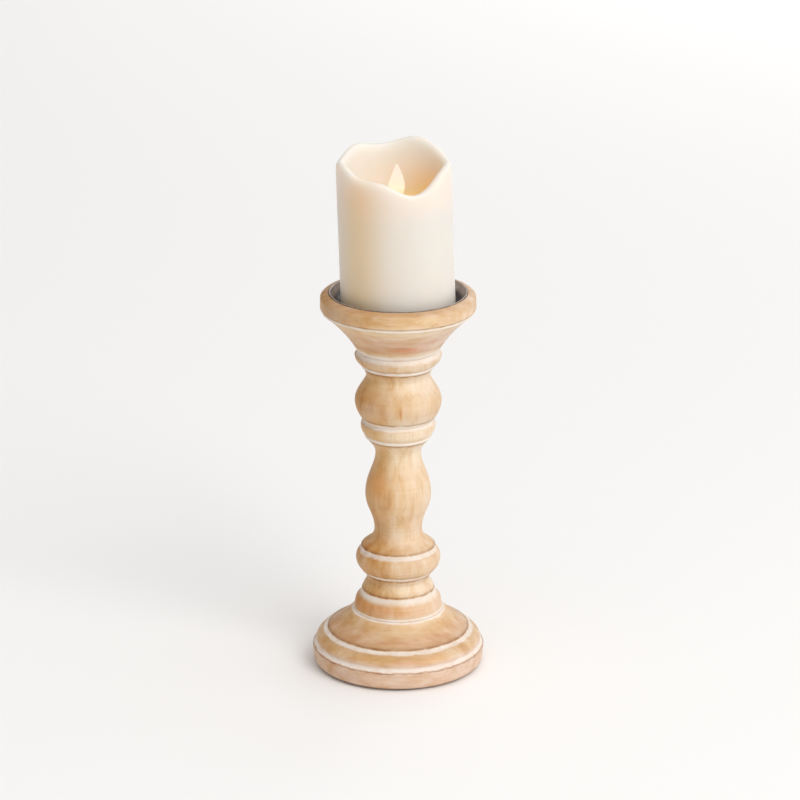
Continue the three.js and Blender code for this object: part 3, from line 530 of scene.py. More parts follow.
# %% Mix a limed wood
def limed_wood(name, along, ladder, painted, dirt_and_shade, seed, blots=(), haze=0.2, side_light=0.8):
    """A turned wood; along is the axis its fibres follow."""
    recipe = Recipe(name)
    level = recipe.height_mm()
    wood = streaks(recipe, ladder_tones(recipe, level, ladder), along, seed)
    # Painted side light, shade on the left and highlight on the right, then knots and drifts of colour.
    wood = knots_and_side_light(recipe, painted_side_light(recipe, wood, side_light), blots)
    drift = recipe.noise(recipe.laid((1, 1, 1), seed), HAZE_WAVES, 2, 0.5)
    wood = recipe.mix(recipe.step(drift, 0.46, 0.7, 0, haze), wood, LIME)
    grain = recipe.noise(recipe.laid(FIBRES[along], seed), GRAIN_WAVES, 4, 0.6)
    wood = recipe.mix(recipe.step(grain, 0.52, 0.8, 0, 0.2), wood, STAIN_AND_SHADE, "MULTIPLY")
    pores = recipe.noise(recipe.laid(FIBRES[along], seed), PORE_WAVES, 1, 0.5)
    pore = recipe.step(pores, 0.68, 0.76)
    wood = recipe.mix(recipe.times(pore, 0.12), wood, STAIN_AND_SHADE, "MULTIPLY")
    ring = recipe.noise(recipe.laid(TOOL_RINGS), RING_WAVES, 2, 0.5)
    wood = recipe.mix(recipe.step(ring, 0.4, 0.75, 0, 0.12), wood, RING_TONE, "MULTIPLY")
    wood, paint = whitewash(recipe, wood, level, painted, dirt_and_shade)
    relief = recipe.plus(recipe.times(grain, 0.5), recipe.times(ring, 0.5))
    relief = recipe.minus(relief, recipe.times(pore, 0.4))
    sheen = recipe.plus(recipe.step(grain, 0.3, 0.8, 0.42, 0.56), recipe.times(paint, 0.2))
    print(name, "tones:", len(ladder), "painted bands:", len(painted), "blots:", len(blots))
    return recipe.finish(
        Base_Color=wood, Roughness=sheen, Specular_IOR_Level=0.35, Normal=recipe.bump(relief, 0.12, 0.5)
    )


# %% [markdown]
# ## The foot
#
# The foot is a broad plinth, a limed cove, a round torus, a limed fillet and a slope that runs up to
# the spindle. Underneath it has a recess for the felt and a counterbore for the screw, and on top a
# bore for the spindle's tenon. Boolean cuts in a solid disc would do for the bores, but leave ragged
# faces round them. One template that goes round it all and closes on itself keeps every face even.

# %% Turn the foot
PLINTH_TOP = BASE_FOOT + 12.3
COVE_TOP = PLINTH_TOP + 3.8
TORUS_TOP = COVE_TOP + 6.5
SLOPE_FOOT = TORUS_TOP + 2.3
TENON_BORE, TENON_SEAT = 11.3, 19.8
SCREW_HOLE = 2.7
COUNTERBORE, WASHER_SEAT = 11, 10.3
FELT_BORE, FELT_SEAT = 50.3, 2.3

foot_wood = limed_wood(
    "limed_foot_wood",
    "X",
    ladder=[
        (BASE_FOOT, CLAY), (BASE_FOOT + 3, ROSE), (PLINTH_TOP - 4, ROSE), (PLINTH_TOP, ROSE),
        (COVE_TOP, ROSE), (COVE_TOP + 3, HONEY), (SLOPE_FOOT, UMBER), (SLOPE_FOOT + 3, CLAY),
        (SLOPE_FOOT + 8, HONEY), (BASE_TOP, WHEAT),
    ],
    painted=[
        (PLINTH_TOP + 0.4, COVE_TOP - 0.9, 0.3, 1.5), (TORUS_TOP - 0.1, SLOPE_FOOT - 0.7, 0.5, 0.3),
        (BASE_TOP - 0.9, BASE_TOP + 1, 0.4, 0.4),
    ],
    # Dark lines under the plinth, the slope and the foot's edge: dirt and painted shade.
    dirt_and_shade=[
        (PLINTH_TOP - 0.6, PLINTH_TOP + 0.2, 0.4, 0.2), (SLOPE_FOOT - 0.3, SLOPE_FOOT + 0.6, 0.2, 0.6),
        (BASE_FOOT, BASE_FOOT + 1, 0.3, 0.8),
    ],
    seed=(0.31, 0.12, 0.07),
    blots=[
        ((24, -50, COVE_TOP + 3), (10, 8, 3), (222, 176, 130), 0.5),
        ((4, -54, COVE_TOP + 2.5), (12, 6, 1.2), (206, 146, 118), 0.45),
        ((-20, -38, SLOPE_FOOT + 6), (16, 9, 5), (214, 184, 152), 0.5),
        ((-34, -44, PLINTH_TOP - 6), (12, 12, 4), (204, 160, 138), 0.5),
        ((30, -48, PLINTH_TOP - 7), (11, 9, 3), (214, 172, 142), 0.5),
    ],
    # Strength of the painted side light.
    side_light=0.3,
)
foot = Template(TENON_BORE, BASE_TOP)
foot.line((TENON_BORE, TENON_SEAT), (SCREW_HOLE, TENON_SEAT), (SCREW_HOLE, WASHER_SEAT))
foot.line((COUNTERBORE, WASHER_SEAT), (COUNTERBORE, FELT_SEAT), (FELT_BORE, FELT_SEAT))
foot.line((FELT_BORE, BASE_FOOT), (52.8, BASE_FOOT)).curve((57.1, BASE_FOOT), (57.3, BASE_FOOT + 4.5))
foot.line((57.95, PLINTH_TOP - 0.5), (57.6, PLINTH_TOP), (56.6, PLINTH_TOP + 0.5))
foot.curve((55.5, PLINTH_TOP + 1), (55.4, COVE_TOP - 0.6)).line((55.6, COVE_TOP))
foot.curve((55.4, COVE_TOP + 2.4), (53.1, COVE_TOP + 4.3), (50.4, TORUS_TOP))
foot.line((49.6, TORUS_TOP + 0.5)).curve((48.0, TORUS_TOP + 0.9), (47.6, SLOPE_FOOT))
foot.curve((38.2, SLOPE_FOOT + 4.8), (31, BASE_TOP - 0.1)).line((30.1, BASE_TOP))
foot_piece = turn("limed_foot", foot.points, foot_wood, closed=True)
stand_in(foot_piece, "candlestick", "mango_wood", "turned_base")

# %% [markdown]
# ## The spindle
#
# From the foot up: a bead, a limed bevel, a spool, a second bead between two limed lines, a shoulder, a
# slim vase, a ring, a ball and a last ring under the cup. Each end has a tenon that hides in its
# neighbour. Stacked balls and rings would be quicker, but their joins would show. Beads and coves are
# drawn with one Bezier curve each, which is how a gouge rolls.

# %% Turn the spindle
JOINT = 0.25
GLUE = 0.3
TENON = 11
CHAMFER = 1
PILOT_TOP = 56.3
PAN_SCREW_HOLE, PAN_SCREW_FOOT = 2.2, 226
STEM_FOOT = BASE_TOP + GLUE
STEM_TOP = CUP_FOOT - GLUE
BEAD_TOP = STEM_FOOT + 8
SPOOL_FOOT = BEAD_TOP + 5.8
SPOOL_TOP = SPOOL_FOOT + 7.4
LOW_BEAD = SPOOL_TOP + 6.9
LOW_BEAD_TOP = LOW_BEAD + 13.2
SHOULDER = LOW_BEAD_TOP + 3
WAIST = SHOULDER + 12.5
BELLY = WAIST + 25.6
NECK = BELLY + 28.2
RING_LINE = NECK + 11.6
RING = RING_LINE + 1.8
RING_TOP = RING + 8
NOTCH = RING_TOP + 1.8
BALL_FOOT = NOTCH + 1.4
BALL = BALL_FOOT + 12.6
BALL_TOP = BALL + 17.1
TOP_LINE = BALL_TOP + 6.6
TOP_RING = TOP_LINE + 1.8
TOP_RING_TOP = TOP_RING + 6.2

spindle_wood = limed_wood(
    "limed_spindle_wood",
    "Z",
    ladder=[
        (STEM_FOOT, SAND), (STEM_FOOT + 4, AMBER), (BEAD_TOP, AMBER), (BEAD_TOP + 3, SAND),
        (SPOOL_FOOT, HONEY), (SPOOL_FOOT + 4, CREAM), (SPOOL_TOP + 3, SAND), (LOW_BEAD + 1, WHEAT),
        (LOW_BEAD + 6, WHEAT), (LOW_BEAD_TOP, HONEY), (SHOULDER + 3, HONEY), (WAIST - 3, WHEAT),
        (WAIST, SAND), (WAIST + 7, WHEAT), (BELLY, WHEAT), (NECK - 12, WHEAT), (NECK - 1, CREAM),
        (RING_LINE - 4, CREAM), (RING_LINE - 1, SAND), (RING + 4, CREAM), (BALL_FOOT + 3, SAND),
        (BALL - 4, HONEY), (BALL + 5, HONEY), (BALL_TOP - 2, CREAM), (BALL_TOP + 3, SAND),
        (TOP_LINE, HONEY), (TOP_RING + 3, SAND), (STEM_TOP, SAND),
    ],
    painted=[
        (STEM_FOOT - 1, STEM_FOOT + 1, 0.3, 0.6),
        (BEAD_TOP + 2.2, SPOOL_FOOT - 0.1, 2.0, 0.4),
        (LOW_BEAD - 1.6, LOW_BEAD + 0.3, 0.4, 0.4),
        (LOW_BEAD_TOP + 0.3, SHOULDER + 0.2, 0.6, 0.5),
        (RING_LINE - 0.2, RING + 0.1, 0.4, 0.4),
        (RING_TOP + 0.2, BALL_FOOT + 0.9, 0.6, 0.6),
        (TOP_LINE, TOP_RING + 0.3, 0.4, 0.4),
        (TOP_RING_TOP + 0.2, STEM_TOP + 1, 0.8, 0.2),
    ],
    # Dark lines under beads and rings: dirt and painted shade.
    dirt_and_shade=[
        (SPOOL_FOOT + 0.3, SPOOL_FOOT + 1.4, 0.2, 0.8),
        (LOW_BEAD + 0.6, LOW_BEAD + 1.5, 0.2, 0.8),
        (LOW_BEAD - 3.4, LOW_BEAD - 2.2, 0.6, 0.3),
        (SHOULDER + 0.5, SHOULDER + 1.6, 0.3, 0.8),
        (RING_LINE - 1.9, RING_LINE - 0.6, 0.8, 0.3),
        (BALL_FOOT + 1.6, BALL_FOOT + 2.6, 0.3, 0.8),
        (TOP_LINE - 1.7, TOP_LINE - 0.5, 0.8, 0.3),
        (TOP_RING, TOP_RING + 0.8, 0.2, 0.5),
    ],
    seed=(0.02, 0.44, 0.3),
    blots=[
        # The honey blots on the left side are painted shade and the pale ones on the right painted
        # highlights; the small dark fleck on the ball is the wood's own.
        ((-14, -16, BELLY + 10), (7, 12, 11), (210, 150, 88), 0.65),
        ((-11, -18, BELLY - 12), (9, 12, 7), (214, 166, 110), 0.4),
        ((9, -22, BELLY + 11), (5, 8, 11), (234, 212, 180), 0.35),
        ((-16, -22, BALL - 7), (14, 12, 7), (214, 168, 112), 0.5),
        ((15, -22, BALL + 4), (8, 10, 9), (232, 208, 172), 0.3),
        ((0, -27, BALL + 5), (9, 7, 8), (210, 166, 112), 0.5),
        ((1.6, -27.5, BALL - 1), (1.2, 4, 6), (192, 122, 60), 0.7),
        ((-20, -18, LOW_BEAD + 7), (10, 12, 6), (206, 160, 106), 0.45),
        ((-8, -27, BEAD_TOP - 3), (16, 8, 3), (206, 148, 94), 0.5),
    ],
    # Strength of the painted side light.
    side_light=0.75,
)
spindle = Template(0, PILOT_TOP)
spindle.line((SCREW_HOLE, PILOT_TOP), (SCREW_HOLE, TENON_FOOT), (TENON - CHAMFER, TENON_FOOT))
spindle.line((TENON, TENON_FOOT + CHAMFER), (TENON, STEM_FOOT - JOINT))
spindle.line((30, STEM_FOOT - JOINT), (30.1, STEM_FOOT + 0.4), (29.5, STEM_FOOT + 1.1))
spindle.curve((29.3, BEAD_TOP - 2), (28, BEAD_TOP))
spindle.curve((25.2, BEAD_TOP + 1.6), (24.6, SPOOL_FOOT))
spindle.curve((23.4, SPOOL_FOOT + 3.4), (20.6, SPOOL_TOP))
spindle.curve((20.9, SPOOL_TOP + 1.4), (23.6, LOW_BEAD - 0.9))
spindle.line((24.5, LOW_BEAD - 0.7), (24.6, LOW_BEAD))
spindle.curve((29.4, LOW_BEAD + 4.5), (29.3, LOW_BEAD_TOP - 3.2), (26.7, LOW_BEAD_TOP))
spindle.line((24.9, LOW_BEAD_TOP + 0.6), (25.1, SHOULDER))
spindle.curve((24.6, SHOULDER + 3), (16, SHOULDER + 4.3), (16, WAIST))
spindle.curve((16, WAIST + 10.8), (22.1, BELLY - 10.8), (22.1, BELLY))
spindle.curve((22.1, BELLY + 11.8), (15.2, NECK - 8.5), (15.2, NECK))
spindle.curve((15.2, NECK + 5.8), (20.6, RING_LINE - 2.3), (21.4, RING_LINE - 0.3))
spindle.line((22.4, RING_LINE + 0.2), (22.3, RING))
spindle.curve((25.5, RING + 3.6), (24.8, RING_TOP)).curve((23, RING_TOP + 0.4), (22.6, NOTCH))
spindle.line((23.8, BALL_FOOT))
spindle.curve((26.6, BALL_FOOT + 3.4), (28.9, BALL_FOOT + 8.2), (28.9, BALL))
spindle.curve((28.9, BALL + 6.3), (24, BALL + 10.3), (21, BALL_TOP))
spindle.curve((21.6, BALL_TOP + 2.6), (23.4, TOP_LINE - 0.4)).line((24.5, TOP_LINE), (24.6, TOP_RING))
spindle.curve((28.4, TOP_RING + 2), (29, TOP_RING_TOP))
spindle.curve((27, TOP_RING_TOP + 0.6), (26.4, STEM_TOP)).line((TENON, STEM_TOP))
spindle.line((TENON, TENON_TOP - CHAMFER), (TENON - CHAMFER, TENON_TOP), (PAN_SCREW_HOLE, TENON_TOP))
spindle.line((PAN_SCREW_HOLE, PAN_SCREW_FOOT), (0, PAN_SCREW_FOOT))
spindle_piece = turn("limed_spindle", spindle.points, spindle_wood, sides=128)
stand_in(spindle_piece, "candlestick", "mango_wood", "turned_stem")

# %% [markdown]
# ## The cup
#
# The cup flares like a trumpet to a crowned rim. Its top is hollowed for the iron pan, and its foot has
# the bore that takes the spindle's upper tenon. A knot sits low on the front of the flare, where the
# wood turns red-brown; it is a soft blot in the grain, set as the maker met it.

# %% Turn the cup
RIM_FOOT = CUP_TOP - 10.6
FLARE_TOP = RIM_FOOT - 2.3
PAN_FLOOR = PAN_TOP - 7.4
RECESS = PAN_FLOOR - 1.1
RECESS_BORE = 46
DIMPLE_BORE, DIMPLE_SEAT = 7.1, PAN_FLOOR - 3.5

cup_wood = limed_wood(
    "limed_cup_wood",
    "X",
    ladder=[
        (CUP_FOOT, CREAM), (CUP_FOOT + 4.5, SAND), (CUP_FOOT + 7, CLAY), (CUP_FOOT + 11, ROSE),
        (CUP_FOOT + 16, ROSE), (FLARE_TOP - 2, CREAM), (RIM_FOOT, SAND), (RIM_FOOT + 2, WHEAT),
        (RIM_FOOT + 7, HONEY), (CUP_TOP, UMBER),
    ],
    painted=[(FLARE_TOP + 0.1, RIM_FOOT - 0.6, 0.7, 0.5), (CUP_FOOT - 1, CUP_FOOT + 3.2, 0.3, 1.2)],
    # A dark line under the rim: dirt and painted shade.
    dirt_and_shade=[(RIM_FOOT - 0.2, RIM_FOOT + 0.7, 0.2, 0.4)],
    seed=(0.6, 0.21, 0.5),
    blots=[
        # The first two rows are the knot; the darker blots on the left are painted shade and the pale
        # one on the right a painted highlight.
        ((7, -31, CUP_FOOT + 9.5), (12, 9, 3.2), (212, 140, 106), 0.6),
        ((2, -33, CUP_FOOT + 11.5), (7, 7, 1.5), (178, 106, 76), 0.5),
        ((-16, -28, CUP_FOOT + 9), (12, 10, 3), (196, 148, 108), 0.4),
        ((-26, -42, CUP_TOP - 5), (18, 10, 3.5), (202, 166, 116), 0.4),
        ((-44, -26, CUP_TOP - 6), (15, 18, 7), (178, 144, 106), 0.55),
        ((20, -46, CUP_TOP - 5), (16, 6, 3), (232, 208, 170), 0.4),
    ],
    haze=0.16,
    # Strength of the painted side light.
    side_light=0.55,
)
cup = Template(TENON_BORE, CUP_FOOT - JOINT)
cup.line((26.2, CUP_FOOT - JOINT)).curve((27.2, CUP_FOOT + 1), (28.2, CUP_FOOT + 1.7))
cup.line((28.5, CUP_FOOT + 2.3))
cup.curve((33.2, CUP_FOOT + 10.2), (39.9, CUP_FOOT + 18.3), (49.6, FLARE_TOP))
cup.line((50.4, FLARE_TOP + 0.3), (50.6, RIM_FOOT - 0.4), (51.4, RIM_FOOT + 0.2), (51.6, RIM_FOOT + 0.9))
cup.line((51.4, CUP_TOP - 3)).curve((50.7, CUP_TOP - 1.5), (48.6, CUP_TOP - 0.6))
cup.curve((47.2, CUP_TOP), (RECESS_BORE, CUP_TOP)).line((RECESS_BORE, RECESS + 2), (43.7, RECESS))
cup.line((DIMPLE_BORE, RECESS), (DIMPLE_BORE, DIMPLE_SEAT), (PAN_SCREW_HOLE, DIMPLE_SEAT))
cup.line((PAN_SCREW_HOLE, TENON_TOP + GLUE), (TENON_BORE, TENON_TOP + GLUE))
cup_piece = turn("limed_cup", cup.points, cup_wood, closed=True)
stand_in(cup_piece, "candlestick", "mango_wood", "turned_cup")

# %% [markdown]
# ## The iron pan
#
# A thin disc is spun over a form into a dish with a sloping wall, and its edge is folded flat on the
# wood. Its grey iron skin is satin, brighter where fingers and candles rub it, and a painted shade
# darkens it down in the well.
# A single skin with a Solidify modifier would do; one closed template, turned on the same lathe, gives
# the sheet its real thickness and its rolled lip in one go.


# %% Turn the pan
SHEET = 0.8
LIP = 45.7
LIP_TOP = PAN_TOP + 0.1
PAN_FLAT = 38.5
DIMPLE, DIMPLE_DEPTH = 6, 2.4
# Heights of the painted shade down in the pan's well.
WELL_SHADE_DEEP, WELL_SHADE_CLEAR = PAN_TOP - 6, PAN_TOP - 2.8


def satin_iron():
    recipe = Recipe("satin_iron")
    rubbed = recipe.noise(recipe.place, 130, 4, 0.6)
    colour = recipe.mix(recipe.step(rubbed, 0.4, 0.7), srgb(172, 158, 150), srgb(206, 194, 184))
    # Painted shade: the iron turns dark down in the well.
    well = recipe.step(recipe.height_mm(), WELL_SHADE_DEEP, WELL_SHADE_CLEAR, 1, 0)
    colour = recipe.mix(well, colour, srgb(72, 64, 60))
    skin = recipe.noise(recipe.place, 1800, 3, 0.6)
    shine = recipe.step(rubbed, 0.3, 0.7, 0.34, 0.5)
    return recipe.finish(
        Base_Color=colour, Metallic=0.75, Roughness=shine, Normal=recipe.bump(skin, 0.03, 0.5)
    )


iron = satin_iron()
pan = Template(LIP, PAN_TOP - 0.1)
pan.curve((LIP, LIP_TOP), (LIP - 0.4, LIP_TOP)).curve((LIP - 1.1, LIP_TOP), (LIP - 1.3, PAN_TOP - 0.7))
pan.curve((41.7, PAN_FLOOR + 0.8), (PAN_FLAT, PAN_FLOOR)).line((DIMPLE, PAN_FLOOR))
pan.line((PAN_SCREW_HOLE, PAN_FLOOR - DIMPLE_DEPTH), (PAN_SCREW_HOLE, PAN_FLOOR - DIMPLE_DEPTH - SHEET))
pan.line((DIMPLE + 0.3, PAN_FLOOR - SHEET), (PAN_FLAT, PAN_FLOOR - SHEET))
pan.curve((42.1, PAN_FLOOR - 0.5), (45.1, PAN_TOP - 1.2))
pan_piece = turn("iron_pan", pan.points, iron, wear=0, closed=True)
stand_in(pan_piece, "candlestick", "black_iron", "candle_pan")

# %% [markdown]
# ## The wax pillar
#
# A battery pillar is cast wax over a plastic core, with its top melted into a soft wavy edge round a
# smooth bowl. It leans a little. The rule of its shape is a turned outline whose height is stretched by
# waves round the edge, so the same rule as in the solids makes the finer skin, ring by ring. The bowl
# has a painted amber glow beside the flame and the wax has a painted shade down one side: both are
# painted into the mesh as attributes, point by point, where a texture could not find them.

# %% Cast the wax
WAX_RADIUS = 37.8
CREST = 97.7
BOWL_FLOOR = 69
LEAN = 0.0315
WAX_BORE = 32.4
INSERT_HOLE = 12
BOWL_THICK = 4
WALL_ROWS = 23
# Rows of (degrees from the front, spread in degrees, rise), then of (rise, lobes, start).
EDGE_WAVES = [
    (21, 35, -16), (-37, 22, -6), (101, 24, -2.7), (-101, 20, -3), (152, 29, 6.5), (-136, 20, 3),
]
RIPPLES = [(0.1, 7, 0.6), (0.06, 11, 2.1)]


def edge_wave(angle):
    """Height of the melted edge over its mean, at an angle in degrees from the front."""
    rise = 0
    for middle, spread, height in EDGE_WAVES:
        away = (angle - middle + 540) % 360 - 180
        rise += height * math.exp(-((away / spread) ** 2))
    for size, lobes, start in RIPPLES:
        rise += size * math.sin(math.radians(angle) * lobes + start)
    return rise


def wax_outline():
    outside = Template(WAX_BORE, 0)
    outside.line((WAX_RADIUS - 0.7, 0)).curve((WAX_RADIUS, 0), (WAX_RADIUS, 0.7))
    for row in range(1, WALL_ROWS + 1):
        outside.line((WAX_RADIUS, BOWL_FLOOR * row / WALL_ROWS))
    outside.line((WAX_RADIUS, CREST - 20), (WAX_RADIUS, CREST - 12), (WAX_RADIUS, CREST - 7))
    outside.curve((WAX_RADIUS - 0.1, CREST - 1.2), (WAX_RADIUS - 0.8, CREST), (WAX_RADIUS - 3, CREST))
    outside.curve(
        (WAX_RADIUS - 5, CREST - 0.1), (WAX_RADIUS - 6.2, CREST - 3), (WAX_RADIUS - 6.6, CREST - 7)
    )
    outside.curve((WAX_RADIUS - 8.5, BOWL_FLOOR + 3), (24, BOWL_FLOOR + 0.3), (17, BOWL_FLOOR))
    under = BOWL_FLOOR - BOWL_THICK
    outside.line((INSERT_HOLE, BOWL_FLOOR), (INSERT_HOLE, under), (WAX_BORE, under))
    return outside.points


print("melted edge over its mean, front and back:", round(edge_wave(0), 1), round(edge_wave(180), 1))


# %% Set the wax ring by ring
BORE_POINTS = 3


def cast_wax(finish, sides=192):
    """Sets every point of the turned outline where the melt and the lean put it."""
    outline = wax_outline()
    rows = len(outline)
    spots, faces = [], []
    for column in range(sides):
        angle = 360 * column / sides
        way = math.radians(angle)
        for row, (radius, height) in enumerate(outline):
            share = max(0, (height - BOWL_FLOOR) / (CREST - BOWL_FLOOR))
            lifted = height + edge_wave(angle) * share
            upright = row == 0 or row >= rows - BORE_POINTS
            lean = 0 if upright else LEAN * lifted
            x, y = radius * math.sin(way) - lean, -radius * math.cos(way)
            spots.append((x * MM, y * MM, (WAX_FOOT + lifted) * MM))
            here, beside = column * rows + row, (column + 1) % sides * rows + row
            up, beside_up = here - row + (row + 1) % rows, beside - row + (row + 1) % rows
            faces.append((here, beside, beside_up, up))
    mesh = bpy.data.meshes.new("wax_pillar")
    mesh.from_pydata(spots, [], faces)
    mesh.materials.append(finish)
    face_outwards(mesh)
    return mesh


LAMP_SPOT = (13, 2, BOWL_FLOOR + 2)
GLOW_REACH, GLOW_FLATNESS = 27, 1.5
# Where the painted shade down the wax's left side lies, in millimetres.
SHADE_SIDE_X, SHADE_SPREAD_LEFT, SHADE_SPREAD_RIGHT = -27, 11, 16
SHADE_TOP, SHADE_PEAK_X = BOWL_FLOOR + 26, -25
SHADE_SLOPE, SHADE_FADE = 0.3, 14
BACK_FROM, BACK_SHARE = 8, 0.6


def flattened(x, y, level):
    """Heights count for more than widths, so the glow lies low in the bowl."""
    return x, y, GLOW_FLATNESS * level


def paint_light(mesh):
    """Marks the melted bowl, the painted amber glow beside the flame and the painted shade down one side
    of the wax.
    """
    bowl = mesh.attributes.new("bowl", "FLOAT", "POINT")
    glow = mesh.attributes.new("glow", "FLOAT", "POINT")
    side_shade = mesh.attributes.new("side_shade", "FLOAT", "POINT")
    for i, point in enumerate(mesh.vertices):
        x, y, z = [part / MM for part in point.co]
        level = z - WAX_FOOT
        radius = math.hypot(x + LEAN * level, y)
        lip = min(1, max(0, (WAX_RADIUS - 2 - radius) / 3))
        inside = lip if level > BOWL_FLOOR - 1 else 0
        bowl.data[i].value = inside
        from_lamp = math.dist(flattened(x, y, level), flattened(*LAMP_SPOT))
        glow.data[i].value = inside * math.exp(-((from_lamp / GLOW_REACH) ** 2))
        # Painted shade down the left side of the wax, fading towards the top and at the back.
        spread = SHADE_SPREAD_RIGHT if x > SHADE_SIDE_X else SHADE_SPREAD_LEFT
        side = math.exp(-(((x - SHADE_SIDE_X) / spread) ** 2))
        below = SHADE_TOP - level - SHADE_SLOPE * abs(x - SHADE_PEAK_X)
        fade = min(1, max(0, below / SHADE_FADE)) * (1 if y < BACK_FROM else BACK_SHARE)
        side_shade.data[i].value = (1 - inside) * side * fade


print("glow reaches", GLOW_REACH, "mm from the lamp at", LAMP_SPOT)

# %% [markdown]
# ### Ivory wax
#
# Wax is cloudy: light goes in, scatters, and comes out again a little way off. A plain pale paint would
# look like plaster, so the shader's subsurface scattering is used, with red going farthest. Near the
# lamp the wax gives a faint light of its own, where a lamp inside it would take long to render cleanly.


# %% Mix the wax and place the pillar
IVORY_SHADE, IVORY = srgb(223, 213, 203), srgb(229, 220, 211)
# Tan of the painted shade down the wax's left side.
SHADE_SIDE_IVORY = srgb(226, 197, 155)
BOWL_IVORY = srgb(227, 222, 215)
# Colour of the painted glow on the bowl's wax beside the flame.
GLOW_PAINTED_IVORY = srgb(232, 184, 104)
NO_LIGHT, AMBER_LIGHT = (0, 0, 0, 1), (0.26, 0.15, 0.02, 1)


def wax():
    recipe = Recipe("ivory_wax")
    cloud = recipe.noise(recipe.laid((1, 1, 0.3)), 42, 3, 0.5)
    colour = recipe.mix(cloud, IVORY_SHADE, IVORY)
    # Painted shade: the wax turns tan down its left side.
    side_shade = recipe.node("ShaderNodeAttribute", attribute_name="side_shade").outputs["Fac"]
    colour = recipe.mix(recipe.times(side_shade, 0.8), colour, SHADE_SIDE_IVORY)
    bowl = recipe.node("ShaderNodeAttribute", attribute_name="bowl").outputs["Fac"]
    colour = recipe.mix(bowl, colour, BOWL_IVORY)
    glow = recipe.node("ShaderNodeAttribute", attribute_name="glow").outputs["Fac"]
    # Painted glow: the wax's own colour turns amber beside the flame.
    colour = recipe.mix(glow, colour, GLOW_PAINTED_IVORY)
    light = recipe.mix(recipe.times(glow, glow), NO_LIGHT, AMBER_LIGHT)
    skin = recipe.noise(recipe.place, 900, 3, 0.6)
    bloom = recipe.noise(recipe.laid((1, 1, 0.5)), 160, 3, 0.5)
    return recipe.finish(
        Base_Color=colour,
        Roughness=recipe.step(bloom, 0.3, 0.7, 0.42, 0.56),
        Specular_IOR_Level=0.35,
        Subsurface_Weight=0.9,
        Subsurface_Radius=(1.0, 0.8, 0.62),
        Subsurface_Scale=0.011,
        Emission_Color=light,
        Emission_Strength=1.0,
        Normal=recipe.bump(skin, 0.03, 0.35),
    )


wax_mesh = cast_wax(wax())
paint_light(wax_mesh)
wax_piece = bpy.data.objects.new("wax_pillar", wax_mesh)
bpy.context.scene.collection.objects.link(wax_piece)
stand_in(wax_piece, "candle", "wax", "wax_shell")
wax_top = max(point.co.z for point in wax_mesh.vertices) / MM
print("wax faces:", len(wax_mesh.polygons), "crest:", round(wax_top, 1))

# %% [markdown]
# ## The flame
#
# The flame is a frosted blade that hangs on a wire and is lit from below by a small warm lamp. An
# extruded outline would leave a blunt rim, so the blade is drawn as flat rings, one above the other,
# and thins out at its edge and tip. It lights itself: its shader glows pale at the tip and yellow at the
# foot, where the lamp is near.

# %% Shape the flame
# Rows of (height, half width, half thickness, drift to the side).
FLAME_ROWS = [
    (56.6, 2.3, 0.45, 0), (71, 2.3, 0.45, 0), (73.5, 3.7, 0.45, -0.5), (76.5, 5.0, 0.45, -1.0),
    (80, 5.3, 0.45, -1.1), (84, 4.4, 0.44, -0.9), (88, 3.0, 0.42, -0.8), (91.2, 1.7, 0.38, -0.9),
    (93.2, 0.8, 0.28, -1.0), (93.8, 0.3, 0.18, -1.1),
]


def smooth_rows(rows, parts):
    """Fills in rows between the drawn ones along smooth curves."""
    made = []
    for i in range(len(rows) - 1):
        cage = [rows[max(0, i - 1)], rows[i], rows[i + 1], rows[min(len(rows) - 1, i + 2)]]
        for step in range(parts):
            t = step / parts
            weights = (
                (-t + 2 * t * t - t**3) / 2, (2 - 5 * t * t + 3 * t**3) / 2,
                (t + 4 * t * t - 3 * t**3) / 2, (t**3 - t * t) / 2,
            )
            made.append(tuple(sum(w * row[k] for w, row in zip(weights, cage)) for k in range(4)))
    made.append(rows[-1])
    return made


FLAME_CREASE = 60


def lofted(name, rings, finish):
    """Skins a stack of rings of points and closes both ends."""
    mesh = bpy.data.meshes.new(name)
    sides = len(rings[0])
    faces = []
    for row in range(len(rings) - 1):
        for k in range(sides):
            here, beside = row * sides + k, row * sides + (k + 1) % sides
            faces.append((here, beside, beside + sides, here + sides))
    faces.append(tuple(reversed(range(sides))))
    faces.append(tuple(range((len(rings) - 1) * sides, len(rings) * sides)))
    mesh.from_pydata([spot for ring in rings for spot in ring], [], faces)
    mesh.materials.append(finish)
    face_outwards(mesh, FLAME_CREASE)
    return mesh


print("flame, foot to tip:", FLAME_ROWS[0][0], "to", FLAME_ROWS[-1][0], "mm over the wax's foot")


# %% Light the flame and hang it
YELLOW_FOOT, PALE_TIP = 72, 92


def flame_glow():
    recipe = Recipe("lit_flame")
    level = recipe.minus(recipe.height_mm(), WAX_FOOT)
    flicker = recipe.times(recipe.noise(recipe.place, 160, 2), 5)
    height = recipe.step(recipe.plus(level, flicker), YELLOW_FOOT, PALE_TIP)
    light = recipe.ramp(
        height, (0, (0.98, 0.72, 0.3, 1)), (0.35, (0.96, 0.84, 0.6, 1)), (1, (0.9, 0.76, 0.64, 1))
    )
    return recipe.finish(
        Base_Color=srgb(96, 84, 66), Roughness=0.5, Emission_Color=light, Emission_Strength=1.0
    )


def flame_rings(points=28):
    rings = []
    for height, half, thick, offset in smooth_rows(FLAME_ROWS, 4):
        ring = []
        for k in range(points):
            way = 2 * math.pi * k / points
            x, y = offset + half * math.cos(way), thick * math.sin(way)
            ring.append((x * MM, y * MM, (WAX_FOOT + height) * MM))
        rings.append(ring)
    return rings


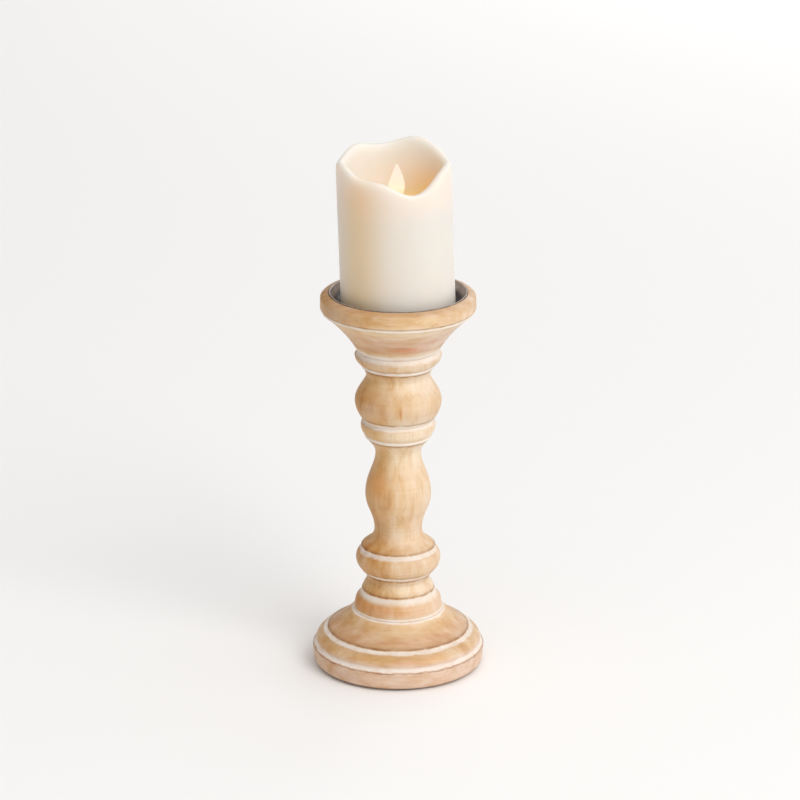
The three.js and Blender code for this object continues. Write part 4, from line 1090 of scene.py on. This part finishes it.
flame_mesh = lofted("flame_blade", flame_rings(), flame_glow())
flame_piece = bpy.data.objects.new("flame_blade", flame_mesh)
bpy.context.scene.collection.objects.link(flame_piece)
stand_in(flame_piece, "flame_blade", "flame_film", "flame")
print("flame faces:", len(flame_mesh.polygons))

# %% [markdown]
# ## Finishes for the solids that stay
#
# The felt, the screws and everything inside the candle keep the engineer's shapes. Each gets a finish
# from one short recipe per trade: pressed felt, plated metal, moulded plastic, wound copper, printed
# board. A single grey for all would be quicker, but some are seen when the candle is lifted or turned
# over.


# %% Recipes for the remaining solids
def felt():
    """Short fibres pressed flat; they catch the light from the side."""
    recipe = Recipe("pressed_felt")
    fuzz = recipe.noise(recipe.place, 1400, 5, 0.7)
    colour = recipe.mix(fuzz, srgb(92, 78, 68), srgb(138, 120, 106))
    return recipe.finish(
        Base_Color=colour, Roughness=0.95, Sheen_Weight=0.4, Normal=recipe.bump(fuzz, 0.4, 0.8)
    )


def plated(name, dark, light, roughness=0.3):
    recipe = Recipe(name)
    cloud = recipe.noise(recipe.place, 420, 4, 0.6)
    return recipe.finish(
        Base_Color=recipe.mix(cloud, srgb(*dark), srgb(*light)),
        Metallic=1.0,
        Roughness=recipe.step(cloud, 0.3, 0.7, roughness, roughness + 0.15),
        Normal=recipe.bump(cloud, 0.02, 0.4),
    )


def moulded(name, dark, light, roughness=0.5, glow=None):
    recipe = Recipe(name)
    cloud = recipe.noise(recipe.place, 60, 3, 0.5)
    spark = recipe.noise(recipe.place, 2600, 2, 0.5)
    extra = {"Emission_Color": glow, "Emission_Strength": 1.0} if glow else {}
    return recipe.finish(
        Base_Color=recipe.mix(cloud, srgb(*dark), srgb(*light)),
        Roughness=recipe.step(spark, 0.3, 0.7, roughness, roughness + 0.12),
        Normal=recipe.bump(spark, 0.03, 0.4),
        **extra,
    )


WIRE_PITCH = 0.25


def wound_copper():
    recipe = Recipe("wound_copper")
    level = recipe.times(recipe.height_mm(), 2 * math.pi / WIRE_PITCH)
    turns = recipe.reckon("SINE", level)
    # Darker between the turns is painted shade, brighter on their crowns a painted highlight.
    colour = recipe.mix(recipe.step(turns, -1, 1), srgb(128, 62, 30), srgb(206, 122, 70))
    return recipe.finish(
        Base_Color=colour, Metallic=0.9, Roughness=0.32, Normal=recipe.bump(turns, 0.06, 0.6)
    )


def circuit_green():
    recipe = Recipe("circuit_green")
    cell = recipe.node("ShaderNodeTexVoronoi", {"Vector": recipe.place, "Scale": 420.0})
    cell.distance = "CHEBYCHEV"
    track = recipe.step(cell.outputs["Distance"], 0.42, 0.46)
    colour = recipe.mix(track, srgb(28, 92, 48), srgb(58, 130, 70))
    return recipe.finish(Base_Color=colour, Roughness=0.35, Normal=recipe.bump(track, 0.04, 0.5))


print("one turn of wire every", WIRE_PITCH, "mm")

# %% Dress the solids
LAMP_LIGHT = (1.0, 0.62, 0.22, 1)
FINISHES = {
    "felt": felt(),
    "black_iron": iron,
    "zinc_steel": plated("zinc_plate", (150, 150, 146), (196, 196, 190)),
    "magnet": plated("nickel_plate", (160, 156, 148), (204, 200, 192), 0.2),
    "contact_metal": plated("plated_brass", (180, 148, 84), (214, 184, 120)),
    "ivory_plastic": moulded("ivory_plastic", (232, 222, 202), (240, 232, 214)),
    "black_plastic": moulded("black_plastic", (24, 24, 25), (38, 38, 39), 0.42),
    "cell_jacket": moulded("cell_jacket", (96, 100, 108), (140, 144, 150), 0.3),
    "lamp_lens": moulded("lamp_lens", (255, 214, 150), (255, 226, 176), 0.2, LAMP_LIGHT),
    "copper_wire": wound_copper(),
    "circuit_board": circuit_green(),
}
SLOT_OF = {part["node"]: part["material_slot"] for part in frame["record"]["subparts"]}
for node, solid in frame["nodes"].items():
    finish = FINISHES.get(SLOT_OF[node])
    if finish and not solid.hide_render:
        solid.data.materials.clear()
        solid.data.materials.append(finish)
print("finished solids:", sum(not solid.hide_render for solid in frame["nodes"].values()))

# %% [markdown]
# ## Studio
#
# Flat pale paper, a broad soft light from the right and in front, a weaker one over the paper behind,
# and a bright room all round. The key light throws one soft shadow to the left. The standard view
# transform keeps the paper almost white and the wood's colours as they were mixed.


# %% Lay the paper and hang the lights
def paper():
    recipe = Recipe("white_paper")
    tooth = recipe.noise(recipe.place, 400, 3, 0.5)
    return recipe.finish(
        Base_Color=recipe.mix(tooth, srgb(245, 244, 243), srgb(247, 246, 245)), Roughness=0.9,
        Specular_IOR_Level=0.1,
    )


def lay_floor(size=6.0):
    mesh = bpy.data.meshes.new("paper")
    corners = [(-size, -size, 0), (size, -size, 0), (size, size, 0), (-size, size, 0)]
    mesh.from_pydata(corners, [], [(0, 1, 2, 3)])
    mesh.materials.append(paper())
    floor = bpy.data.objects.new("paper", mesh)
    bpy.context.scene.collection.objects.link(floor)


def hang_light(name, spot, aim, size, watts, colour=(1, 1, 1)):
    data = bpy.data.lights.new(name, "AREA")
    data.shape = "DISK"
    data.size = size
    data.energy = watts
    data.color = colour
    light = bpy.data.objects.new(name, data)
    light.location = spot
    away = [a - b for a, b in zip(spot, aim)]
    flat = math.hypot(away[0], away[1])
    tip, turned = math.atan2(flat, away[2]), math.atan2(away[1], away[0]) + math.pi / 2
    light.rotation_euler = (tip, 0, turned)
    bpy.context.scene.collection.objects.link(light)


BRIGHT_SIDE = (0.8, -0.5, 0.33)
ROOM_WHITE = (1, 0.997, 0.993, 1)
KEY_WHITE = (1, 0.993, 0.982)


def light_room(dim=0.38, bright=1.0):
    """A white room that is brighter on one side than on the other."""
    room = bpy.data.worlds.new("room")
    room.use_nodes = True
    nodes, link = room.node_tree.nodes, room.node_tree.links.new
    way = nodes.new("ShaderNodeTexCoord")
    towards = nodes.new("ShaderNodeVectorMath")
    towards.operation = "DOT_PRODUCT"
    towards.inputs[1].default_value = BRIGHT_SIDE
    share = nodes.new("ShaderNodeMapRange")
    share.interpolation_type = "SMOOTHSTEP"
    values = {"From Min": -1.0, "From Max": 1.0, "To Min": dim, "To Max": bright}
    for name, value in values.items():
        share.inputs[name].default_value = value
    link(way.outputs["Generated"], towards.inputs[0])
    link(towards.outputs["Value"], share.inputs["Value"])
    link(share.outputs["Result"], nodes["Background"].inputs["Strength"])
    nodes["Background"].inputs["Color"].default_value = ROOM_WHITE
    bpy.context.scene.world = room


lay_floor()
hang_light("key", spot=(1.6, -1.9, 2.3), aim=(0, 0, 0.1), size=2.0, watts=42, colour=KEY_WHITE)
hang_light("back", spot=(1.3, 3.0, 1.5), aim=(1.3, 3.0, 0), size=1.8, watts=20)
light_room()
bpy.context.scene.view_settings.view_transform = "Standard"

# %% [markdown]
